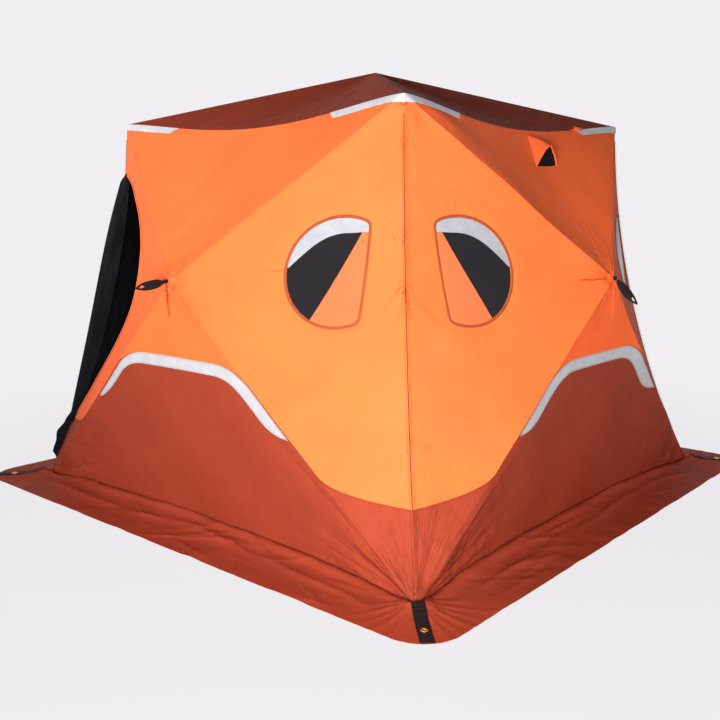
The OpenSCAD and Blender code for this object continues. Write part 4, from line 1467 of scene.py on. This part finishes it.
class VentShape:
    """Place of the vent hoods on a wall's top panel, in the front wall's place."""

    def __init__(self):
        s = sizes()
        self.s = s
        middle = np.array((0, -s.top_side / 2 + s.eave_in, s.eave_height - s.eave_drop))
        hub = np.array((0, -s.hub_span / 2, s.hub_height))
        self.up = unit(middle - hub)
        self.out = np.array((0, -self.up[2], self.up[1]))
        self.mouth = middle - (s.vent_start + s.vent_length) * self.up
        self.hole_z = (self.mouth + s.vent_setback * self.up)[2]

    def foot(self, across):
        """Points of the mouth's lower edge, from side to side."""
        side = np.outer(across, (self.s.vent_width / 2, 0, 0))
        return self.mouth + (self.s.vent_aside, 0, 0) + side - 0.003 * self.out

    def hood(self, along, across):
        """Points of the hood from its tail, 0, to its mouth, 1, and from side to side, -1 to 1."""
        s = self.s
        sink = 0.004
        aside = np.array((s.vent_aside, 0, 0))
        tail = self.mouth + aside + s.vent_length * self.up - sink * self.out
        rise = 1 - np.abs(across) ** 1.6
        arch = (self.mouth + aside + across[:, None] * (s.vent_width / 2, 0, 0)
                + (s.vent_setback * rise)[:, None] * self.up
                + mix(-sink, s.vent_height, rise)[:, None] * self.out)
        full = 0.007 * np.sin(math.pi * along) * rise
        pleat = (0.0022 * np.sin(9 * across + 1.2) + 0.0014 * np.sin(23 * across)) * along * rise
        return mix(tail, arch, along[:, None]) + (full + pleat)[:, None] * self.out


def grid(rows, columns):
    """Quads over rows and columns of points."""
    return [(i * columns + j, i * columns + j + 1, (i + 1) * columns + j + 1, (i + 1) * columns + j)
            for i in range(rows - 1) for j in range(columns - 1)]


class SHELTER_OT_vent_hoods(bpy.types.Operator):
    """Vent hoods pushed up from the top panels, with a dark screen inside"""

    bl_idname = "shelter.vent_hoods"
    bl_label = "Vent hoods"

    def execute(self, context):
        shape = VentShape()
        rows, columns, screen_rows, hem_steps, hem_sides = 22, 41, 7, 61, 8
        along = np.repeat(np.linspace(0.02, 1, rows), columns)
        across = np.tile(np.linspace(-1, 1, columns), rows)
        hood = shape.hood(along, across)
        faces = [f[::-1] for f in grid(rows, columns)]
        uv = np.column_stack((across * along * 0.09, along * 0.18))
        spread = np.linspace(-0.97, 0.97, columns)
        top = shape.hood(np.full(columns, 0.965), spread) - 0.001 * shape.out
        foot = shape.foot(spread)
        screen = np.concatenate([mix(top, foot, t) for t in np.linspace(0, 1, screen_rows)])
        screen_uv = swept_uv(np.linspace(0, 0.06, screen_rows), np.linspace(0, 0.18, columns))
        arch = shape.hood(np.ones(hem_steps), np.linspace(-1, 1, hem_steps))
        hem, hem_faces = sweep(arch, np.tile(shape.out, (hem_steps, 1)), round_section(0.0034, hem_sides))
        hem_uv = swept_uv(np.arange(hem_steps) * 0.004, np.arange(hem_sides) * 0.0025)
        for k in VENT_WALLS:
            name = f"{WALLS[k]}_vent"
            obj = piece(f"{name}_hood", turned(hood, k), faces, "orange_fabric",
                        [finish("orange fabric")], uv, ["vent_hoods"])
            thicken(obj, 0.0014)
            net = piece(f"{name}_screen", turned(screen, k), grid(screen_rows, columns), "black_lining",
                        [finish("black lining")], screen_uv)
            thicken(net, 0.0006)
            edge = piece(f"{name}_hem", turned(hem, k), hem_faces, "orange_fabric",
                         [finish("orange fabric")], hem_uv)
            soften(edge, 60)
        return {"FINISHED"}


class SHELTER_OT_doorway(bpy.types.Operator):
    """Door flap folded back round the corner, the zip binding and its coil"""

    bl_idname = "shelter.doorway"
    bl_label = "Doorway"

    flap_foot = 0.075
    flap_flat = (0.62, 1.5)

    def execute(self, context):
        wall = WallShape()
        front, left = Skin(wall, FRONT), Skin(wall, LEFT)
        self.flap(wall, front, left)
        width, spacing = sizes().zip_width, 0.008
        edge = resample(flipped(wall.door_edge), spacing)
        inset = beside(edge, width / 2)
        section = pillow(width, 0.0022)
        points, faces = sweep(front.at(inset), front.normals(inset), section)
        uv = swept_uv(np.arange(len(edge)) * spacing, np.linspace(0, width, len(section)))
        obj = piece("door_zip_binding", points, faces, "orange_fabric", [finish("orange fabric")], uv,
                    ["door_binding"])
        soften(obj, 60)
        rim = beside(edge, 0.0008)
        teeth = stitches(front.at(rim), front.normals(rim), 0.0018, 0.0052, 0.0016, 0.0032)
        piece("door_zip_coil", *teeth, "black_webbing", [finish("hub plastic")])
        return {"FINISHED"}

    def flap_plan(self, wall):
        """Heights of the flap's points, their places across the corner seam, and the reach of both sides."""
        s = sizes()
        rows, hem_columns, columns = 150, 8, 60
        z = np.linspace(self.flap_foot, s.door_top, rows)
        edge_x = np.interp(z, wall.door_edge[::-1, 1], wall.door_edge[::-1, 0])
        width = np.where(z > s.door_foot, wall.seam_x(z) - edge_x, 0)
        bundle = 0.085 * np.sqrt(np.clip(1 - ((z - 0.21) / 0.137) ** 2, 0, 1))
        width = np.maximum(np.maximum(width, bundle), 0.004)[:, None]
        hem = ((s.door_hem + 0.012) * smooth((z - 0.25) / 0.06) + 0.002)[:, None]
        hem_u = -hem * np.linspace(1, 0, hem_columns + 1)[:-1]
        u = np.concatenate((hem_u, width * np.linspace(0, 1, columns)), axis=1)
        return np.repeat(z[:, None], u.shape[1], axis=1), u, width, hem

    def flap_relief(self, z, u, width, hem):
        """How far the flap stands out: a roll over the seam, streaks down it and a crumpled foot."""
        s = sizes()
        random = np.random.default_rng(FOLD_SEED + 90)
        roll = 0.03 * np.exp(-((u - 0.016) / 0.034) ** 2)
        roll *= 0.75 + 0.25 * np.sin(5 * z + 1) + 0.9 * np.exp(-((z - 0.2) / 0.075) ** 2)
        billow = 0.075 * bow(np.clip((z - 0.32) / (s.door_top - 0.36), 0, 1))
        roll += billow * np.exp(-((u - 0.045) / 0.09) ** 2)
        streaks = np.zeros_like(u)
        for place in (0.09, 0.17, 0.24, 0.31, 0.38, 0.45):
            drift = place + 0.05 * np.sin(2.1 * z + 8 * place) * place / 0.4
            tall = random.uniform(0.004, 0.009)
            spread = random.uniform(0.012, 0.024)
            streaks += tall * np.exp(-((u - drift) / spread) ** 2)
        crumple = np.exp(-((z - 0.2) / 0.1) ** 2)
        streaks += crumple * 0.006 * np.sin(70 * z + 30 * u) * np.sin(90 * u + 1)
        edge_fade = smooth((width - u) / 0.03) * smooth((u + hem + 0.002) / 0.02)
        ends = smooth((z - self.flap_foot) / 0.02) * smooth((s.door_top + 0.004 - z) / 0.05)
        tuck = 0.009 * smooth((-u - s.door_hem - 0.001) / 0.008)
        return 0.0022 + (roll + streaks) * edge_fade * ends - tuck

    def flap(self, wall, front, left):
        """The flap's lining faces out. It bulges over the corner seam and hangs in a bundle at its foot."""
        z, u, width, hem = self.flap_plan(wall)
        out = self.flap_relief(z, u, width, hem)
        x_front = -(wall.seam_x(z) + u).ravel()
        x_left = (wall.seam_x(z) - u).ravel()
        flat_z, flat_u = z.ravel(), u.ravel()
        on_front = np.column_stack((np.maximum(x_front, -wall.seam_x(flat_z)), flat_z))
        on_left = np.column_stack((np.minimum(x_left, wall.seam_x(flat_z)), flat_z))
        turn = smooth((flat_u + 0.035) / 0.07)[:, None]
        normal = unit(mix(front.normals(on_front), left.normals(on_left), turn))
        base = np.where(flat_u[:, None] < 0, front.at(on_front), left.at(on_left))
        points = base + normal * out.ravel()[:, None]
        faces = [f[::-1] for f in grid(*u.shape)]
        uv = np.column_stack((flat_u, flat_z))
        obj = piece("door_flap_cloth", points, faces, "black_lining",
                    [finish("black lining"), finish("orange fabric")], uv, ["door_flap"])
        thicken(obj, cloth().fabric, lined=True)


class SHELTER_OT_seams(bpy.types.Operator):
    """Piped corner seams and the rows of stitches"""

    bl_idname = "shelter.seams"
    bl_label = "Seams and stitches"

    def execute(self, context):
        s = sizes()
        wall = WallShape()
        below_tape = s.eave_height - 0.075
        seam_gap, ray_gap, tape_gap, tape_rise = 0.008, 0.006, 0.004, 0.0008
        orange_rows, rust_rows, pale_rows = [], [], []
        for k in range(4):
            skin = Skin(wall, k)
            for side in (1, -1):
                place = (lambda c: c) if side > 0 else flipped
                outer, inner = lower_tape_edges(wall, side, k)
                upper = place(beside(wall.seam_upper, -seam_gap))
                upper = upper[upper[:, 1] < below_tape]
                lower = place(beside(wall.seam_lower, -seam_gap))
                ray = wall.top_ray[3:-3]
                ray = ray[ray[:, 1] < below_tape]
                orange_rows += [self.row(skin, upper)]
                orange_rows += [self.row(skin, place(beside(ray, d))) for d in (-ray_gap, ray_gap)]
                rust_rows += [self.row(skin, lower), self.row(skin, place(beside(wall.sweep, ray_gap)))]
                pale_rows += [self.row(skin, place(beside(resample(outer, 0.02), tape_gap)), tape_rise)]
                pale_rows += [self.row(skin, place(beside(resample(inner, 0.02), -tape_gap)), tape_rise)]
        for k, side in WINDOWS:
            skin = Skin(wall, k)
            loop = wall.window(s.binding_width / 2, 0.012)
            loop = loop if side > 0 else flipped(loop)
            rust_rows += [self.row(skin, np.concatenate((loop, loop[:1])), 0.0024)]
        for name, rows, slot, thread in (
                ("orange_stitches", orange_rows, "orange_fabric", "seam thread"),
                ("rust_stitches", rust_rows, "rust_fabric", "dark thread"),
                ("tape_stitches", pale_rows, "reflective_tape", "dark thread")):
            points, faces = merge(rows)
            piece(name, points, faces, slot, [finish(thread)], points[:, :2] + points[:, 2:])
        self.piping(wall)
        return {"FINISHED"}

    def row(self, skin, curve, out=0.0):
        return stitches(skin.at(curve, out), skin.normals(curve))

    def piping(self, wall):
        """A narrow rolled edge where two walls are sewn together."""
        s = wall.s
        meet = 1 - s.lower_seam / s.eave_height
        spacing, sides = 0.012, 8
        for word, finish_name, slot, low, high in (
                # Painted shade: the upper piping wears the dark seam-thread finish for the shade along the
                # corner seam
                ("upper", "seam thread", "orange_fabric", 0.04, meet),
                ("lower", "rust fabric", "rust_fabric", meet, 0.998)):
            parts, uvs = [], []
            for k in range(4):
                span = (low, high)
                if k == LEFT:
                    span = (low, 1 - s.door_top / s.eave_height) if word == "upper" else (0.965, high)
                path = resample(wall.seam(1, np.linspace(*span, 120)), spacing)
                out = np.tile(unit(np.array((1.0, -1.0, 0.0))), (len(path), 1))
                points, faces = sweep(path, out, round_section(0.002, sides))
                parts.append((turned(points, k), faces))
                uvs.append(swept_uv(np.arange(len(path)) * spacing, np.arange(sides) * 0.0025)[:, ::-1])
            obj = piece(f"corner_seams_{word}", *merge(parts), slot, [finish(finish_name)],
                        np.concatenate(uvs))
            soften(obj, 60)


class SHELTER_OT_anchor_straps(bpy.types.Operator):
    """Webbing straps on the skirt's corners"""

    bl_idname = "shelter.anchor_straps"
    bl_label = "Anchor straps"

    def execute(self, context):
        s = sizes()
        half = s.base_side / 2
        tip = math.sqrt(2) * (s.skirt_width - s.skirt_round) + s.skirt_round
        start, end, thick, seam_out = 0.03, tip - 0.005, 0.0028, 0.021
        run = np.linspace(start, end, 60)
        x = half + run / math.sqrt(2)
        shape = SkirtShape(0)
        across = np.linspace(-0.5, 0.5, 9)[:, None] * s.anchor_width / math.sqrt(2)
        z = shape.height(x + across, across - x).max(axis=0) + 0.0004
        path = np.column_stack((x, -x, z))
        up = np.tile((0.0, 0.0, 1.0), (len(path), 1))
        section = rounded_strip(s.anchor_width, thick)
        points, faces = sweep(path, up, section)
        uv = swept_uv(run, [p[0] for p in section])
        foot, top = thick - 0.0002, thick + 0.0006
        rows, row_faces = merge([
            sweep(path, up, [(d - 0.0008, foot), (d + 0.0008, foot), (d + 0.0006, top), (d - 0.0006, top)])
            for d in (-seam_out, seam_out)])
        for k, name in enumerate(WALLS):
            obj = piece(f"{name}_anchor_strap", turned(points, k), faces, "black_webbing",
                        [finish("black webbing")], uv, ["anchor_straps"])
            soften(obj, 50)
            piece(f"{name}_anchor_strap_seams", turned(rows, k), row_faces, "black_webbing",
                  [finish("black webbing")], rows[:, :2])
        return {"FINISHED"}


class SHELTER_OT_eyelets(bpy.types.Operator):
    """Pressed brass eyelets in the anchor straps"""

    bl_idname = "shelter.eyelets"
    bl_label = "Eyelets"

    def execute(self, context):
        s = sizes()
        place = s.base_side / 2 + s.eyelet_out
        shape = SkirtShape(0)
        across = np.linspace(-0.5, 0.5, 9) * s.anchor_width / math.sqrt(2)
        z = float(shape.height(place + across, across - place).max()) + 0.0034
        for k, name in enumerate(WALLS):
            centre = turned(np.array([(place, -place, z)]), k)[0]
            obj = self.ring(context, centre, s.eyelet_r)
            obj.name = f"{name}_eyelet"
            obj.data.materials.append(finish("eyelet brass"))
            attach(obj, "root")
            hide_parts("eyelets")
            soften(obj, 60)
        return {"FINISHED"}

    def ring(self, context, centre, radius):
        """A flattened ring, with a barrel that goes down through the strap."""
        rim, depth = 0.004, 0.0044
        bpy.ops.object.select_all(action="DESELECT")
        bpy.ops.mesh.primitive_torus_add(
            major_radius=radius + rim, minor_radius=rim, major_segments=40, minor_segments=14,
            location=centre)
        bpy.ops.object.mode_set(mode="EDIT")
        bpy.ops.mesh.select_all(action="SELECT")
        bpy.ops.transform.resize(value=(1, 1, 0.55), center_override=centre)
        bpy.ops.mesh.primitive_cylinder_add(
            vertices=40, radius=radius + 0.001, depth=depth, end_fill_type="NOTHING",
            location=centre - (0, 0, depth / 2))
        bpy.ops.mesh.solidify(thickness=0.0006)
        bpy.ops.object.mode_set(mode="OBJECT")
        bpy.ops.object.transform_apply(location=True, rotation=True, scale=True)
        return context.object


class SHELTER_OT_pull_straps(bpy.types.Operator):
    """Webbing loops for pulling the hubs out"""

    bl_idname = "shelter.pull_straps"
    bl_label = "Pull straps"

    def execute(self, context):
        s = sizes()
        length, half, root, stand_off = s.pull_length, s.pull_width / 2, 0.008, 0.0083
        upper = bezier(((0.012, root * 0.7), (0.2 * length, root * 0.8), (0.2 * length, half),
                        (0.5 * length, half)), 20)
        nose = bezier(((0.5 * length, half), (0.78 * length, half), (0.86 * length, 0.6 * half),
                       (length, 0.12 * half)), 20)
        edge = np.concatenate((upper, nose[1:]))
        lower = edge[::-1] * (1, -1)
        outline = joined(resample(lower, 0.005), line((edge[0] * (1, -1)), edge[0]),
                         resample(edge, 0.005), line(edge[-1], lower[0]))
        slit = np.concatenate((
            bezier(((0.72 * length, 0), (0.78 * length, 0.011), (0.9 * length, 0)), 12)[:-1],
            bezier(((0.9 * length, 0), (0.78 * length, -0.009), (0.72 * length, 0)), 12)[:-1]))
        points, faces = fill(outline, 0.005, [slit[::-1]])
        centre = np.array((0, -s.hub_span / 2 - stand_off, s.hub_height))
        knot, knot_faces = self.knot(centre)
        for k, name in enumerate(WALLS):
            droop = math.radians((8, 45)[k % 2])
            ahead = np.array((0, -math.cos(droop), -math.sin(droop)))
            up = np.array((0, -math.sin(droop), math.cos(droop)))
            curl = (0.004 * np.sin(points[:, 0] / length * 5 + k)
                    + 0.0016 * np.cos(points[:, 1] / half * 2.5))
            placed = centre + points[:, :1] * ahead + points[:, 1:] * up + curl[:, None] * (1.0, 0, 0)
            obj = piece(f"{name}_pull_strap", turned(placed, k), faces, "black_webbing",
                        [finish("black webbing")], points, ["pull_straps"])
            thicken(obj, 0.0036, offset=0.0)
            ball = piece(f"{name}_pull_knot", turned(knot, k), knot_faces, "black_webbing",
                         [finish("black webbing")], knot[:, [0, 2]])
            soften(ball, 60)
        return {"FINISHED"}

    def knot(self, centre):
        """Two turns of webbing round the strap's root."""
        turn = np.linspace(0, 4 * math.pi, 48)
        ring = np.column_stack((np.sin(turn), 0 * turn, np.cos(turn))) * 0.0055
        ring[:, 1] = np.linspace(0.005, -0.007, len(turn))
        return sweep(centre + ring, np.tile((0.0, -1.0, 0.0), (len(turn), 1)), round_section(0.0032, 8))


class SHELTER_OT_loop_tab(bpy.types.Operator):
    """Small loop of fabric tape sewn under the right eave"""

    bl_idname = "shelter.loop_tab"
    bl_label = "Loop tab"

    def execute(self, context):
        wall = WallShape()
        steps, aside = 26, 0.5
        eave = wall.eave(np.array([0.5 + aside / sizes().top_side]))[0]
        turn = np.radians(np.linspace(0, 250, steps))
        flat = np.zeros(steps)
        loop = np.column_stack((flat, -0.003 - 0.011 * np.sin(turn), 0.0075 * np.cos(turn) + 0.007))
        normals = np.column_stack((flat, -np.sin(turn), np.cos(turn)))
        section = rounded_strip(0.085, 0.0012)
        points, faces = sweep(eave + loop, normals, section)
        uv = swept_uv(np.arange(steps) * 0.002, np.arange(len(section)) * 0.012)
        obj = piece("eave_loop_tab", turned(points, RIGHT), faces, "orange_fabric",
                    [finish("orange fabric")], uv)
        soften(obj, 60)
        return {"FINISHED"}


class SHELTER_OT_frame_finish(bpy.types.Operator):
    """Finishes of the poles, hubs, caps and feet"""

    bl_idname = "shelter.frame_finish"
    bl_label = "Frame finish"

    def execute(self, context):
        looks = {
            "glass-fibre pole": ("wall_poles", "roof_poles"),
            "hub plastic": ("wall_hubs", "roof_hub", "top_corner_caps", "corner_feet"),
        }
        for look, nodes in looks.items():
            for node in nodes:
                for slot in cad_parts[node].material_slots:
                    slot.material = finish(look)
        return {"FINISHED"}


OPERATORS = (
    SHELTER_OT_stage, SHELTER_OT_guy_cord, SHELTER_OT_roof_panels, SHELTER_OT_top_panels,
    SHELTER_OT_side_panels, SHELTER_OT_center_panels, SHELTER_OT_lower_panels, SHELTER_OT_skirts,
    SHELTER_OT_lower_tapes, SHELTER_OT_eave_tapes, SHELTER_OT_windows, SHELTER_OT_vent_hoods,
    SHELTER_OT_doorway, SHELTER_OT_seams, SHELTER_OT_anchor_straps, SHELTER_OT_eyelets,
    SHELTER_OT_pull_straps, SHELTER_OT_loop_tab, SHELTER_OT_frame_finish,
)


class SHELTER_PT_pieces(bpy.types.Panel):
    """Lists the shelter's pieces in the 3D view's sidebar"""

    bl_label = "Shelter"
    bl_idname = "SHELTER_PT_pieces"
    bl_space_type = "VIEW_3D"
    bl_region_type = "UI"
    bl_category = "Shelter"

    def draw(self, context):
        for operator in OPERATORS:
            self.layout.operator(operator.bl_idname)


GROUPS = {
    "shelter_sizes": ShelterSizes, "shelter_cloth": ShelterCloth,
    "shelter_colours": ShelterColours, "shelter_studio": ShelterStudio,
}


def register():
    for group in GROUPS.values():
        bpy.utils.register_class(group)
    for name, group in GROUPS.items():
        setattr(bpy.types.Scene, name, PointerProperty(type=group))
    for operator in (*OPERATORS, SHELTER_PT_pieces):
        bpy.utils.register_class(operator)


def unregister():
    for operator in reversed((*OPERATORS, SHELTER_PT_pieces)):
        bpy.utils.unregister_class(operator)
    for name in GROUPS:
        delattr(bpy.types.Scene, name)
    for group in reversed(list(GROUPS.values())):
        bpy.utils.unregister_class(group)


def main():
    register()
    for operator in OPERATORS:
        group, name = operator.bl_idname.split(".")
        getattr(getattr(bpy.ops, group), name)()


if __name__ == "__main__":
    main()
